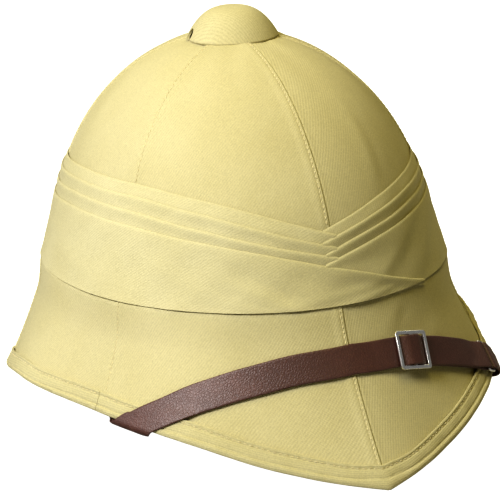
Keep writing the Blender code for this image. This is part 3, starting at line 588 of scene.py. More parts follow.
CLOTH = (0.640, 0.588, 0.370)
TWILL = cloth_material("khaki_twill", CLOTH, -35, 0.0013, 0.72)
TAPE_CLOTH = cloth_material("khaki_tape", (0.622, 0.574, 0.362), 88, 0.0012, 0.68)
SCARF_MATERIAL = cloth_material("khaki_scarf", (0.662, 0.614, 0.398), -52, 0.0012, 0.74)
# The thread is painted paler than the cloth: a painted highlight for the light that the raised stitches catch.
THREAD_WITH_PAINTED_HIGHLIGHT = cloth_material("khaki_thread", (0.73, 0.66, 0.44), 30, 0.0006, 0.8)
LEATHER = leather_material("brown_leather", (0.098, 0.037, 0.028))
NICKEL = nickel_material("nickel_plate")
PITH = pith_material("pressed_fibre")


# The body


SHELL_HOLE_RADIUS = 0.0079
SHELL_HEM_GAP = 0.0042
SHELL_TOP_LEVEL = 0.985
# Metres of cloth or fibre for each degree round the body
ROUND_SCALE = 0.0018


def make_shell():
    """The stiff body under the cloth, whose inside shows from below."""
    loops = []
    places = []
    azimuths = spread(0, 360, 145)[:-1]
    for azimuth in azimuths:
        low = hem_level(azimuth, BRIM_MIDDLE, SHELL_HEM_GAP)
        levels = [SHELL_TOP_LEVEL - SHELL_TOP_LEVEL * i / 40 for i in range(40)]
        levels += [low * i / 20 for i in range(21)]
        levels[0] = level_at_radius(azimuth, SHELL_HOLE_RADIUS)
        outer = [layer_point(azimuth, level, SHELL_DEPTH) for level in levels]
        inner = [layer_point(azimuth, level, SHELL_INNER_DEPTH) for level in levels]
        loop = outer + inner[::-1]
        loops.append(loop)
        places.append([(azimuth * ROUND_SCALE, length) for length in loop_lengths(loop)])
    places.append([(360 * ROUND_SCALE, v) for _, v in places[0]])
    data = swept_mesh("body_shell", loops, places, True)
    return add_piece("body_shell", data, PITH, ["helmet_shell"])


GORES = ("front_right", "side_right", "back_right", "back_left", "side_left", "front_left")
SEAM_STEPS = (0.0, 0.0002, 0.0005, 0.0010, 0.0014, 0.0018, 0.0022, 0.0030, 0.0045, 0.0060, 0.0072, 0.0085)
SEAM_LAP = 0.0007
STITCH_INSET = 0.0018
SEAM_ALLOWANCE = 0.0066
SEAM_PITCH = 0.0027
GORE_ANGLE = 360.0 / len(GORES)
GORE_CLOTH = 0.0009
GORE_TOP_RADIUS = 0.0170
GORE_HEM_GAP = 0.0038
CROWN_ROWS = 34
BRIM_ROWS = 26
MIDDLE_COLUMNS = 24


def scarf_edge(side, pleat, azimuth):
    rows = SCARF_RIGHT if side == "right" else SCARF_LEFT
    place = azimuth if side == "right" else -azimuth
    return SCARF_FOOT + SCARF_HEIGHT * table_value(rows, PLEATS[pleat], place)


def scarf_top(azimuth):
    """The height of the scarf's topmost edge."""
    azimuth = wrapped(azimuth)
    edges = []
    if azimuth > SCARF_RIGHT[0].azimuth:
        edges.append(scarf_edge("right", 0, azimuth))
    if azimuth < -SCARF_LEFT[0].azimuth:
        edges.append(scarf_edge("left", 0, azimuth))
    return max(edges)


def under_scarf(azimuth, height):
    """1 under the scarf and 0 away from it."""
    above = smooth((height - scarf_top(azimuth) + 0.001) / 0.004)
    below = smooth((SCARF_FOOT + 0.003 - height) / 0.004)
    return 1.0 - max(above, below)


def seam_relief(distance, lapped):
    """How far the cloth stands up at a distance from the seam."""
    if lapped:
        edge = SEAM_LAP * math.sqrt(min(1.0, distance / 0.0006))
        groove = 0.00028 * bump(distance - STITCH_INSET, 0.0005)
        slope = smooth((distance - SEAM_ALLOWANCE + 0.0022) / 0.0022)
        return edge * (1 - 0.55 * slope) * (1 - 0.3 * smooth(distance / 0.0060)) - groove
    return 0.00012 * bump(distance - 0.0012, 0.0010)


COVER_WAVE = 0.00018
COVER_FULLNESS = 0.0028
SCARF_FULLNESS = 0.0024
SCARF_BRIDGE = 0.030
# Dents and soft ridges in the cloth: the middle's azimuth and height, the direction, and the size.
# Heights, lengths, widths and reliefs are in millimetres.
Crease = namedtuple("Crease", "azimuth height turn rise length width relief")
GORE_CREASES = (
    Crease(-14.0, 74.0, 1.0, 1.2, 7.5, 1.8, 0.60),
    Crease(-16.5, 72.5, 1.0, 1.2, 7.0, 2.2, -0.45),
    Crease(-27.0, 60.0, 1.0, 1.0, 10.0, 3.0, 0.30),
    Crease(-20.0, 150.0, 0.15, 1.0, 22.0, 3.6, 0.40),
    Crease(-24.0, 152.0, 0.15, 1.0, 20.0, 4.0, -0.35),
    Crease(38.0, 68.0, 1.0, 0.5, 16.0, 4.0, 0.25),
    Crease(12.0, 40.0, 0.4, 1.0, 14.0, 4.0, 0.22),
    Crease(-8.0, 35.0, -0.5, 1.0, 12.0, 4.0, -0.25),
    Crease(90.0, 60.0, 0.4, 1.0, 16.0, 5.0, 0.3),
    Crease(150.0, 50.0, -0.6, 1.0, 18.0, 5.0, 0.3),
    Crease(-110.0, 55.0, 0.6, 1.0, 18.0, 5.0, 0.3),
    Crease(-75.0, 65.0, 0.8, 1.0, 14.0, 4.0, 0.3),
    Crease(-150.0, 48.0, 0.3, 1.0, 18.0, 6.0, 0.3),
    Crease(70.0, 165.0, 0.2, 1.0, 20.0, 6.0, 0.25),
    Crease(150.0, 160.0, -0.2, 1.0, 20.0, 6.0, 0.25),
    Crease(-100.0, 165.0, 0.1, 1.0, 20.0, 6.0, 0.25),
)


def crease_relief(creases, azimuth, height, radius):
    """The sum of the creases at a point, in metres."""
    total = 0.0
    for crease in creases:
        across = math.radians(wrapped(azimuth - crease.azimuth)) * -radius * 1000
        up = height * 1000 - crease.height
        if abs(across) > 60 or abs(up) > 60:
            continue
        size = math.hypot(crease.turn, crease.rise)
        along = (across * crease.turn + up * crease.rise) / size
        off = (across * crease.rise - up * crease.turn) / size
        total += crease.relief * 0.001 * bump(along, crease.length) * bump(off, crease.width)
    return total


def cloth_waviness(azimuth, height):
    """Slow unevenness of stretched cloth, and its fullness in the hollow over the brim."""
    a = math.radians(azimuth)
    waves = math.sin(5 * a + height * 60) + 0.7 * math.sin(9 * a - height * 95 + 1.3)
    waves += 0.5 * math.sin(17 * a + height * 40 + 2.1)
    hollow = side_fullness(azimuth) * smooth((height - 0.064) / 0.020) * (1 - smooth((height - 0.088) / 0.010))
    return COVER_WAVE * waves + COVER_FULLNESS * hollow


def side_fullness(azimuth):
    """How full the hollow between the crown and the brim is: less at the front than at the sides."""
    front = 0.35 * bump(wrapped(azimuth) + 12, 14)
    return 0.55 - front + 0.45 * smooth((abs(wrapped(azimuth)) - 25) / 45)


def gore_level(azimuth, row):
    """The level of a row of a gore: from under the button down to the crown's foot, then to the hem."""
    if row <= CROWN_ROWS:
        return level_at_radius(azimuth, GORE_TOP_RADIUS) * (1 - row / CROWN_ROWS)
    return hem_level(azimuth, BRIM_MIDDLE, GORE_HEM_GAP) * ((row - CROWN_ROWS) / BRIM_ROWS)


def gore_distances(width):
    """Distances from the gore's first seam, close together near both seams."""
    last = len(SEAM_STEPS) - 1
    near = [min(step, width * 0.46 * i / last) for i, step in enumerate(SEAM_STEPS)]
    middle = spread(near[-1], width - near[-1], MIDDLE_COLUMNS + 2)[1:-1]
    return near + middle + [width - step for step in reversed(near)]


def make_gore(number):
    """One gore from the button to the rim. Every other gore laps over its neighbours at both its seams."""
    lapped = number % 2 == 0
    first = number * GORE_ANGLE
    centre = first + GORE_ANGLE / 2
    columns = 2 * len(SEAM_STEPS) + MIDDLE_COLUMNS
    loops = []
    places = []
    grids = []
    for depth in (0.0, GORE_CLOTH):
        grid = []
        for row in range(CROWN_ROWS + BRIM_ROWS + 1):
            line = []
            middle = cover_point(centre, gore_level(centre, row)) - AXIS
            radius = math.hypot(middle.x, middle.y)
            width = math.radians(GORE_ANGLE) * radius
            for distance in gore_distances(width):
                azimuth = first + distance / width * GORE_ANGLE
                level = gore_level(azimuth, row)
                point = cover_point(azimuth, level)
                from_seam = min(distance, width - distance)
                covered = under_scarf(azimuth, point.z)
                open_cloth = 1 - covered
                relief = seam_relief(from_seam, lapped) * (1 - 0.75 * covered)
                relief += crease_relief(GORE_CREASES, azimuth, point.z, radius) * open_cloth
                relief += cloth_waviness(azimuth, point.z) * open_cloth
                line.append((layer_point(azimuth, level, depth - relief), distance - width / 2))
            grid.append(line)
        grids.append(grid)
    heights = run_lengths([line[columns // 2][0] for line in grids[0]])
    for column in range(columns):
        outer = [line[column][0] for line in grids[0]]
        inner = [line[column][0] for line in grids[1]]
        loops.append(outer + inner[::-1])
        across = [line[column][1] for line in grids[0]]
        flat = [(a, -h) for a, h in zip(across, heights)]
        places.append(flat + flat[::-1] + flat[:1])
    name = "gore_" + GORES[number]
    data = swept_mesh(name, loops, places, False)
    return add_piece(name, data, TWILL, ["cover_panel_" + GORES[number]])


# Stitches


THREAD_RADIUS = 0.00024
THREAD_RELIEF = 0.00022
THREAD_STEP = 0.0004
# A stitch's rings: the share of its length, the share of its radius and its lift
StitchRing = namedtuple("StitchRing", "share size lift")
STITCH_RINGS = (
    StitchRing(0.06, 0.35, -1.2),
    StitchRing(0.16, 0.85, 0.1),
    StitchRing(0.36, 1.0, 1.0),
    StitchRing(0.64, 1.0, 1.0),
    StitchRing(0.84, 0.85, 0.1),
    StitchRing(0.94, 0.35, -1.2),
)


def stitch_row(name, points, normals, pitch):
    """A row of stitches along points on the cloth: short threads that dive into it at both ends."""
    lengths = run_lengths(points)
    count = int(lengths[-1] / pitch)
    around = 6
    verts = []
    faces = []
    corners = []
    place = 0

    def at(length):
        nonlocal place
        while place < len(lengths) - 2 and lengths[place + 1] < length:
            place += 1
        t = (length - lengths[place]) / (lengths[place + 1] - lengths[place])
        return points[place].lerp(points[place + 1], t), normals[place].lerp(normals[place + 1], t).normalized()

    for number in range(count):
        start = (number + 0.08) * pitch
        span = pitch * 0.84
        base = len(verts)
        first, _ = at(start)
        keep = place
        last, _ = at(start + span)
        along = (last - first).normalized()
        place = keep
        for share, size, lift in STITCH_RINGS:
            point, normal = at(start + span * share)
            side = along.cross(normal).normalized()
            centre = point + normal * (THREAD_RELIEF * lift)
            for k in range(around):
                angle = 2 * math.pi * k / around
                way = side * math.cos(angle) + normal * math.sin(angle)
                verts.append(centre + way * THREAD_RADIUS * size)
        for i in range(len(STITCH_RINGS) - 1):
            low = i * THREAD_STEP
            high = low + THREAD_STEP
            for k in range(around):
                m = (k + 1) % around
                a = base + i * around
                faces.append((a + k, a + m, a + around + m, a + around + k))
                corners.append(((0.0, low), (0.0002, low), (0.0002, high), (0.0, high)))
        faces.append(tuple(base + k for k in range(around))[::-1])
        corners.append(((0.0, 0.0),) * around)
        end = base + (len(STITCH_RINGS) - 1) * around
        faces.append(tuple(end + k for k in range(around)))
        corners.append(((0.0, 0.0),) * around)
    return add_piece(name, cloth_mesh(name, verts, faces, corners), THREAD_WITH_PAINTED_HIGHLIGHT, [])


def seam_stitches(number):
    """The row of stitches beside a seam, on the gore that laps over, above the scarf and below it."""
    azimuth = number * GORE_ANGLE
    way = 1 if number % 2 == 0 else -1
    for part in ("crown", "brim"):
        points = []
        normals = []
        if part == "crown":
            top = level_at_radius(azimuth, 0.0235)
            low = level_at_height(azimuth, scarf_top(azimuth) - 0.001)
        else:
            top = level_at_height(azimuth, SCARF_FOOT + 0.001)
            low = level_above_rim(azimuth, tape_leg(azimuth) - 0.001)
        for level in spread(top, low, 90):
            flat = cover_point(azimuth, level) - AXIS
            radius = math.hypot(flat.x, flat.y)
            place = azimuth + way * math.degrees(STITCH_INSET / radius)
            point = cover_point(place, level)
            relief = seam_relief(STITCH_INSET, True) + cloth_waviness(place, point.z)
            relief += crease_relief(GORE_CREASES, place, point.z, radius)
            points.append(layer_point(place, level, -relief))
            normals.append(cover_normal(place, level))
        stitch_row(f"seam_stitches_{part}_{number}", points, normals, SEAM_PITCH)


# The tape round the rim


def rim_drop(azimuth):
    """How far the tape's fullness hangs under the rim between the front's tip and the strap."""
    turn = abs(wrapped(azimuth))
    return RIM_DROP * smooth(turn / 14) * (1 - smooth((turn - 36) / 10))


def rim_corner(azimuth, depth, clearance):
    """The point of the layer at this depth that is a clearance above the rim's height."""
    return layer_point(azimuth, hem_level(azimuth, depth, clearance - rim_drop(azimuth)), depth)


def rounded_corner(before, corner, after, radius, steps):
    """Points of an arc that rounds a corner between two straight runs."""
    one = (before - corner).normalized()
    two = (after - corner).normalized()
    half = one.angle(two) / 2
    centre = corner + (one + two).normalized() * (radius / math.sin(half))
    start = corner + one * (radius / math.tan(half)) - centre
    stop = corner + two * (radius / math.tan(half)) - centre
    return [centre + start.slerp(stop, share) * radius for share in spread(0.0, 1.0, steps)]


RIM_PITCH = 0.0031
TAPE_SHARES = (
    0.0, 0.015, 0.035, 0.06, 0.09, 0.12, 0.15, 0.18, 0.21, 0.25, 0.31,
    0.38, 0.46, 0.53, 0.57, 0.60, 0.63, 0.66, 0.70, 0.75, 0.80,
)


def tape_leg(azimuth):
    """The tape's width on the outside, widest at the front's tip."""
    turn = abs(wrapped(azimuth))
    return TAPE_OUTER_LEG + TAPE_TIP_EXTRA * bump(turn, 4.0) - TAPE_SIDE_LESS * smooth((turn - 60) / 30)


def tape_section(azimuth, inset=0.0):
    """The tape's outer path, or one inset into it, from its upper edge round the rim to its inner edge."""
    outer_depth = inset - TAPE_PROUD
    inner_depth = TAPE_INNER_DEPTH - inset
    low = hem_level(azimuth, outer_depth, inset - rim_drop(azimuth))
    leg = tape_leg(azimuth)
    top = level_above_rim(azimuth, leg)
    points = []
    for share in TAPE_SHARES:
        distance = share * leg
        relief = 0.0 if inset else tape_relief(azimuth, distance)
        points.append(layer_point(azimuth, top + (low - top) * share, outer_depth - relief))
    outer_corner = rim_corner(azimuth, outer_depth + TAPE_TUCK, inset)
    inner_corner = rim_corner(azimuth, inner_depth, inset)
    inner_top = layer_point(azimuth, level_above_rim(azimuth, TAPE_INNER_LEG), inner_depth)
    radius = max(TAPE_ROUND - inset, 0.0003)
    points += rounded_corner(points[-1], outer_corner, inner_corner, radius, 7)
    points += rounded_corner(outer_corner, inner_corner, inner_top, radius, 7)
    points += [inner_corner.lerp(inner_top, share) for share in (0.45, 0.75, 0.95, 1.0)]
    return points


def tape_relief(azimuth, distance):
    """The tape's folded upper edge, the furrow of its stitches and its slack, by distance from that edge."""
    edge = 0.00030 * (1 - smooth(distance / 0.0013)) - 0.00045 * bump(distance, 0.0004)
    furrow = 0.00045 * bump(distance - TAPE_STITCH, 0.0006) + 0.00040 * bump(distance - TAPE_CREASE, 0.0005)
    share = min(max((distance - TAPE_CREASE) / (tape_leg(azimuth) - TAPE_CREASE), 0.0), 1.0)
    roll = 0.00045 * math.sin(math.pi * share) - TAPE_TUCK * share**2
    turn = math.radians(azimuth)
    pucker = 0.00012 * math.sin(turn * 173) * bump(distance - 0.5 * TAPE_STITCH, 0.0014)
    slack = 0.00012 * math.sin(turn * 61 + distance * 200) * smooth((distance - 0.003) / 0.003)
    return edge - furrow + roll + pucker + slack


def make_tape():
    start = TAPE_JOINT + 0.06
    azimuths = spread(start, start + 359.88, 721)
    loops = [tape_section(azimuth) + tape_section(azimuth, TAPE_WALL)[::-1] for azimuth in azimuths]
    data = swept_cloth("rim_tape", loops, 6)
    return add_piece("rim_tape", data, TAPE_CLOTH, ["brim_binding"])


def tape_stitches():
    points = []
    normals = []
    for azimuth in spread(TAPE_JOINT + 1.0, TAPE_JOINT + 359.0, 1400):
        level = level_above_rim(azimuth, tape_leg(azimuth) - TAPE_STITCH)
        points.append(layer_point(azimuth, level, -TAPE_PROUD - tape_relief(azimuth, TAPE_STITCH)))
        normals.append(cover_normal(azimuth, level))
    return stitch_row("rim_stitches", points, normals, RIM_PITCH)


# The scarf

SCARF_CREASES = (
    Crease(20.0, 93.0, -1.0, 0.42, 26.0, 1.9, 0.75),
    Crease(16.0, 97.0, -1.0, 0.50, 24.0, 2.4, -0.55),
    Crease(27.0, 90.0, -1.0, 0.22, 22.0, 1.6, 0.45),
    Crease(2.0, 89.5, -1.0, -0.10, 26.0, 1.5, 0.55),
    Crease(-12.0, 88.0, -1.0, -0.12, 20.0, 1.5, 0.45),
    Crease(45.0, 104.0, -1.0, 0.35, 22.0, 3.0, 0.40),
    Crease(58.0, 100.0, -1.0, 0.15, 24.0, 3.0, -0.30),
    Crease(-18.0, 103.0, 1.0, 0.55, 16.0, 2.2, 0.60),
    Crease(-26.0, 106.0, 1.0, 0.80, 14.0, 2.4, -0.50),
    Crease(-33.0, 100.0, 1.0, 0.70, 14.0, 2.2, 0.55),
    Crease(-40.0, 110.0, 1.0, 0.60, 14.0, 2.6, 0.45),
    Crease(-52.0, 100.0, 1.0, 0.50, 18.0, 3.0, 0.45),
    Crease(-70.0, 104.0, 1.0, 0.30, 22.0, 3.0, -0.40),
    Crease(-95.0, 98.0, 1.0, 0.30, 26.0, 3.4, 0.45),
    Crease(-130.0, 106.0, -1.0, 0.30, 26.0, 3.4, 0.40),
    Crease(-160.0, 98.0, 1.0, 0.25, 26.0, 3.4, 0.45),
    Crease(165.0, 104.0, 1.0, 0.30, 26.0, 3.4, -0.40),
    Crease(135.0, 98.0, -1.0, 0.20, 26.0, 3.4, 0.45),
    Crease(105.0, 108.0, 1.0, 0.20, 24.0, 3.2, 0.40),
    Crease(80.0, 96.0, -1.0, 0.25, 26.0, 3.0, 0.40),
)


def scarf_lower_edge(side, pleat, azimuth):
    over = [SCARF_FOOT]
    for later in range(pleat, len(PLEATS)):
        if (later > pleat or side == "left") and azimuth > SCARF_RIGHT[0].azimuth:
            over.append(scarf_edge("right", later, azimuth))
        if later > pleat and azimuth < -SCARF_LEFT[0].azimuth:
            over.append(scarf_edge("left", later, azimuth))
    return max(over)


def scarf_width(side, pleat, azimuth):
    return scarf_edge(side, pleat, azimuth) - scarf_lower_edge(side, pleat, azimuth)


def scarf_end(side, pleat):
    step = 0.25 if side == "left" else -0.25
    azimuth = -20.0 if side == "left" else 20.0
    while scarf_width(side, pleat, azimuth + step) > 0.0004:
        azimuth += step
    return azimuth


PLEAT_SHARES = (0.0, 0.04, 0.10, 0.18, 0.30, 0.45, 0.60, 0.75, 0.90, 1.0)
WIDE_SHARES = (
    0.0, 0.012, 0.035, 0.07, 0.12, 0.18, 0.26, 0.36,
    0.46, 0.56, 0.66, 0.76, 0.86, 0.93, 0.97, 1.0,
)


def scarf_loop(side, pleat, azimuth):
    """A pleat's section: down its outer face from the folded upper edge to the tucked lower edge, and back."""
    top = scarf_edge(side, pleat, azimuth)
    low = scarf_lower_edge(side, pleat, azimuth)
    free = low <= SCARF_FOOT
    bottom = low if free else low - min(0.0035, 0.3 * (top - low) + 0.0006)
    turn = azimuth if side == "right" else -azimuth
    high = SCARF_HIGH - 0.0002 * smooth((turn - 20) / 60)
    if pleat == 0:
        ramp = max(0.0, 1.0 - abs(azimuth) / 12.0) if side == "right" else 0.0
        high = SCARF_LOW - 0.0002 + (SCARF_HIGH - SCARF_LOW + 0.0002) * ramp
    wide = pleat == 3
    outer = []
    inner = []
    width = top - bottom
    for share in WIDE_SHARES if wide else PLEAT_SHARES:
        height = top - width * share
        level = level_at_height(azimuth, height)
        distance = width * share
        lift = SCARF_LOW + (high - SCARF_LOW) * (1 - smooth((distance - 0.0008) / max(0.0045, 0.45 * width)))
        if free:
            lift += 0.0002 * smooth((distance - width + 0.004) / 0.004)
        point = cover_point(azimuth, level) - AXIS
        radius = math.hypot(point.x, point.y)
        fade = smooth(distance / 0.006) * (smooth((width - distance) / 0.003) if not free else 1.0)
        relief = crease_relief(SCARF_CREASES, azimuth, height, radius) * fade if wide else 0.0
        relief += scarf_bridge(azimuth, height) if wide else 0.0
        relief += 0.00016 * math.sin(math.radians(azimuth) * 23 + pleat * 1.7 + height * 210) * fade
        round_off = 0.00022 * bump(distance, 0.0003)
        outer.append(layer_point(azimuth, level, -(lift + relief) + round_off))
        inner.append(layer_point(azimuth, level, -(max(lift + relief - SCARF_CLOTH, 0.0002))))
    crest = cover_point(azimuth, level_at_height(azimuth, top + 0.5 * SCARF_FOLD))
    crest = crest + cover_normal(azimuth, level_at_height(azimuth, top)) * (high - 0.5 * SCARF_FOLD)
    return [crest] + outer + inner[::-1]


def scarf_bridge(azimuth, height):
    """How far the wide fold stands off the hollow between the crown and the brim."""
    above = height - SCARF_FOOT
    return SCARF_FULLNESS * side_fullness(azimuth) * max(0.0, 1 - above / SCARF_BRIDGE) ** 1.3


def scarf_stations(pleat):
    left_end = scarf_end("left", pleat)
    right_end = scarf_end("right", pleat)
    left = spread(left_end, -180.0, 200)
    right = spread(180.0, right_end, 200)
    return [("left", azimuth) for azimuth in left[:-1]] + [("right", azimuth) for azimuth in right]


def make_pleat(pleat):
    loops = [scarf_loop(side, pleat, azimuth) for side, azimuth in scarf_stations(pleat)]
    ending = "wide_fold" if pleat == 3 else f"pleat_{pleat + 1}"
    data = swept_cloth("scarf_" + ending, loops, 1)
    return add_piece("scarf_" + ending, data, SCARF_MATERIAL, ["pagri_" + ending])


# The button


BUTTON_FOOT = BRIM_DROP + CROWN_HEIGHT - BUTTON_SINK
BUTTON_LIP = ((0.0001, -0.0007), (0.0005, -0.0011), (0.0012, -0.0010))
BUTTON_INSIDE = (1.0, 0.95, 0.85, 0.7, 0.5, 0.3, 0.12)


def button_blank():
    """The cloth-covered dome, turned round the axis: its outside, its rolled lip and its inside."""
    foot = BUTTON_FOOT
    outer = [math.sin(math.radians(90 * i / 26)) for i in range(27)]
    profile = [(BUTTON_RADIUS * s, BUTTON_HEIGHT * (1 - s**BUTTON_CURVE)) for s in outer]
    lip = [(BUTTON_RADIUS - inset, height) for inset, height in BUTTON_LIP]
    inner_radius = BUTTON_RADIUS - BUTTON_WALL
    inner_height = BUTTON_HEIGHT - BUTTON_WALL
    inner = [(inner_radius * s, inner_height * (1 - s**BUTTON_CURVE)) for s in BUTTON_INSIDE]
    path = profile[1:] + lip + inner
    verts = [AXIS + Vector((0.0, 0.0, foot + BUTTON_HEIGHT)), AXIS + Vector((0.0, 0.0, foot + inner_height))]
    around = 96
    faces = []
    for k in range(around):
        angle = 2 * math.pi * k / around
        for radius, height in path:
            verts.append(AXIS + Vector((radius * math.cos(angle), radius * math.sin(angle), foot + height)))
    size = len(path)
    for k in range(around):
        a = 2 + k * size
        b = 2 + (k + 1) % around * size
        faces.append((0, a, b))
        faces.append((1, b + size - 1, a + size - 1))
        for i in range(size - 1):
            faces.append((a + i, a + i + 1, b + i + 1, b + i))
    data = bpy.data.meshes.new("button")
    data.from_pydata(verts, [], faces)
    layer = data.uv_layers.new(name="cloth")
    for loop in data.loops:
        point = data.vertices[loop.vertex_index].co
        layer.data[loop.index].uv = (point.x, point.y)
    tidy_mesh(data)
    return new_object("button_blank", data)


def vent_tool(azimuth):
    """The rod that cuts the notch for air at an azimuth."""
    mesh = bmesh.new()
    sizes = {"radius1": VENT_RADIUS, "radius2": VENT_RADIUS, "depth": 0.02}
    bmesh.ops.create_cone(mesh, cap_ends=True, segments=32, **sizes)
    data = bpy.data.meshes.new("vent_tool")
    mesh.to_mesh(data)
    mesh.free()
    tool = new_object("vent_tool", data)
    z_axis = outward(azimuth)
    upright = Vector((0.0, 0.0, 1.0))
    turn = Matrix((upright.cross(z_axis), upright, z_axis)).transposed().to_4x4()
    middle = AXIS + z_axis * BUTTON_RADIUS + Vector((0, 0, BUTTON_FOOT + VENT_RISE))
    tool.matrix_world = Matrix.Translation(middle) @ turn
    return tool


def make_button():
    """The cloth-covered button, hollow, with a notch for air at each side."""
    button = button_blank()
    for azimuth in VENT_AZIMUTHS:
        cut = button.modifiers.new("vent", "BOOLEAN")
        cut.object = vent_tool(azimuth)
        cut.solver = "EXACT"
    bpy.context.view_layer.update()
    final = bpy.data.meshes.new_from_object(button.evaluated_get(bpy.context.evaluated_depsgraph_get()))
    for thing in [o for o in bpy.data.objects if o.name.startswith(("button_blank", "vent_tool"))]:
        bpy.data.objects.remove(thing)
    tidy_mesh(final)
    final.name = "button"
    return add_piece("top_button", final, TWILL, ["vent_button"])


# The strap


def foot_level(azimuth):
    """The level of the tape's lowest outer corner, round which the strap turns."""
    return hem_level(azimuth, -TAPE_PROUD, 0.0)


def wrap_point(azimuth, climb, lift):
    """A point of the strap's way: up the brim outside, round the rim, and up the inside."""
    foot = foot_level(azimuth)
    if climb >= 0:
        proud = TAPE_PROUD - STRAP_DROP * smooth((climb - TAPE_OUTER_LEG) / 0.008)
        return layer_point(azimuth, foot + climb / brim_depth(azimuth), -proud - lift)
    inside = -climb - WRAP_LENGTH
    if inside >= 0:
        return layer_point(azimuth, foot + inside / brim_depth(azimuth), TAPE_INNER_DEPTH + lift)
    normal = cover_normal(azimuth, foot)
    down = -cover_slopes(azimuth, foot)[1].normalized()
    flat = min(max(-climb - RIM_BEND, 0.0), RIM_FLAT)
    angle = (-climb - flat) / RIM_ROLL
    centre = layer_point(azimuth, foot, RIM_ROLL + flat - TAPE_PROUD)
    return centre + (normal * math.cos(angle) + down * math.sin(angle)) * (RIM_ROLL + lift)


def route_climb(azimuth):
    turn = azimuth if azimuth > 0 else -azimuth * STRAP_LEFT_HASTE
    return table_value(STRAP_ROUTE, "climb", turn) * brim_depth(azimuth)


@lru_cache(maxsize=None)
def route_point(azimuth):
    return wrap_point(azimuth, route_climb(azimuth), 0.0)


@lru_cache(maxsize=None)
def route_lengths():
    count = round(4 * ANCHOR_AZIMUTH)
    azimuths = [ANCHOR_AZIMUTH - 0.5 * i for i in range(count + 1)]
    return azimuths, run_lengths([route_point(azimuth) for azimuth in azimuths])


def interpolated(x, xs, ys):
    low = 0
    high = len(xs) - 1
    while high - low > 1:
        middle = (low + high) // 2
        if x <= xs[middle]:
            high = middle
        else:
            low = middle
    return ys[low] + (ys[high] - ys[low]) * (x - xs[low]) / (xs[high] - xs[low])


def length_at(azimuth):
    azimuths, lengths = route_lengths()
    return interpolated(-azimuth, [-a for a in azimuths], lengths)


@lru_cache(maxsize=None)
def strip_frame(length):
    """The azimuth and climb at a length along the strap's way, and how both change across the strap."""
    azimuths, lengths = route_lengths()
    azimuth = interpolated(length, lengths, azimuths)
    climb = route_climb(azimuth)
    turn = 0.5
    rise = 0.0003
    along = route_point(azimuth - turn) - route_point(azimuth + turn)
    by_azimuth = (wrap_point(azimuth + turn, climb, 0.0) - wrap_point(azimuth - turn, climb, 0.0)) / (2 * turn)
    by_climb = (wrap_point(azimuth, climb + rise, 0.0) - wrap_point(azimuth, climb - rise, 0.0)) / (2 * rise)
    normal = by_azimuth.cross(by_climb).normalized()
    across = along.cross(normal).normalized()
    if across.dot(by_climb) < 0:
        across = -across
    aa = by_azimuth.dot(by_azimuth)
    ab = by_azimuth.dot(by_climb)
    bb = by_climb.dot(by_climb)
    ca = across.dot(by_azimuth)
    cb = across.dot(by_climb)
    divisor = aa * bb - ab * ab
    return azimuth, climb, (ca * bb - cb * ab) / divisor, (cb * aa - ca * ab) / divisor


def strip_point(length, across, lift):
    azimuth, climb, azimuth_rate, climb_rate = strip_frame(length)
    return wrap_point(azimuth + across * azimuth_rate, climb + across * climb_rate, lift)


@lru_cache(maxsize=None)
def strip_matrix(length, lift):
    small = 0.001
    along = (strip_point(length + small, 0.0, lift) - strip_point(length - small, 0.0, lift)).normalized()
    across = strip_point(length, STRAP_WIDTH / 2, lift) - strip_point(length, -STRAP_WIDTH / 2, lift)
    normal = along.cross(across).normalized()
    turn = Matrix((along, normal.cross(along), normal)).transposed().to_4x4()
    return Matrix.Translation(strip_point(length, 0.0, lift)) @ turn


def ring_end():
    return length_at(RING_AZIMUTH) + RING_WINDOW + 2 * RING_WIRE_RADIUS


def ring_point(length, across, lift):
    """A point near the ring, where the straps lie as flat as the ring."""
    ring = length_at(RING_AZIMUTH)
    flat = strip_matrix(ring, RING_LIFT) @ Vector((length - ring, across, lift - RING_LIFT))
    share = smooth(max(ring - length, length - ring_end(), 0.0) / RING_BLEND)
    return flat.lerp(strip_point(length, across, lift), share)


def rounded_profile(profile, step):
    """Points every step along a profile of (length, lift) rows, with its corners rounded."""
    fine = []
    for (a, b), (c, d) in zip(profile, profile[1:]):
        count = max(1, round(math.hypot(c - a, d - b) / step))
        fine += [(a + (c - a) * i / count, b + (d - b) * i / count) for i in range(count)]
    fine.append(profile[-1])
    for _ in range(2):
        inner = [
            tuple((p + 2 * q + r) / 4 for p, q, r in zip(before, here, after))
            for before, here, after in zip(fine, fine[1:], fine[2:])
        ]
        fine = [fine[0]] + inner + [fine[-1]]
    return fine


def strap_mesh(name, profile):
    """A leather strap with rounded edges along a profile of lengths and lifts."""
    half = STRAP_THICKNESS / 2
    round_edge = 0.00045
    edge = STRAP_WIDTH / 2
    across = [-edge, -edge + 0.00015, -edge + round_edge] + spread(-edge + 0.0012, edge - 0.0012, 15)
    across += [edge - round_edge, edge - 0.00015, edge]
    lifts = [0.35, 0.75, 1.0] + [1.0] * 15 + [1.0, 0.75, 0.35]
    loops = []
    places = []
    travelled = 0.0
    for i, (length, lift) in enumerate(profile):
        before = profile[max(i - 1, 0)]
        after = profile[min(i + 1, len(profile) - 1)]
        run = Vector((after[0] - before[0], after[1] - before[1])).normalized()
        loop = []
        for side, order in ((1, range(len(across))), (-1, reversed(range(len(across))))):
            for k in order:
                rise = side * half * lifts[k]
                loop.append(ring_point(length - run.y * rise, across[k], lift + run.x * rise))
        if i:
            travelled += math.hypot(length - before[0], lift - before[1])
        loops.append(loop)
        places.append([(travelled, v) for v in loop_lengths(loop)])
    return swept_mesh(name, loops, places, False)


def ring_fold(centre, way):
    points = []
    for angle in spread(90, -90, 13):
        turn = math.radians(angle)
        points.append((centre + way * FOLD_RADIUS * math.cos(turn), RING_LIFT + FOLD_RADIUS * math.sin(turn)))
    return points


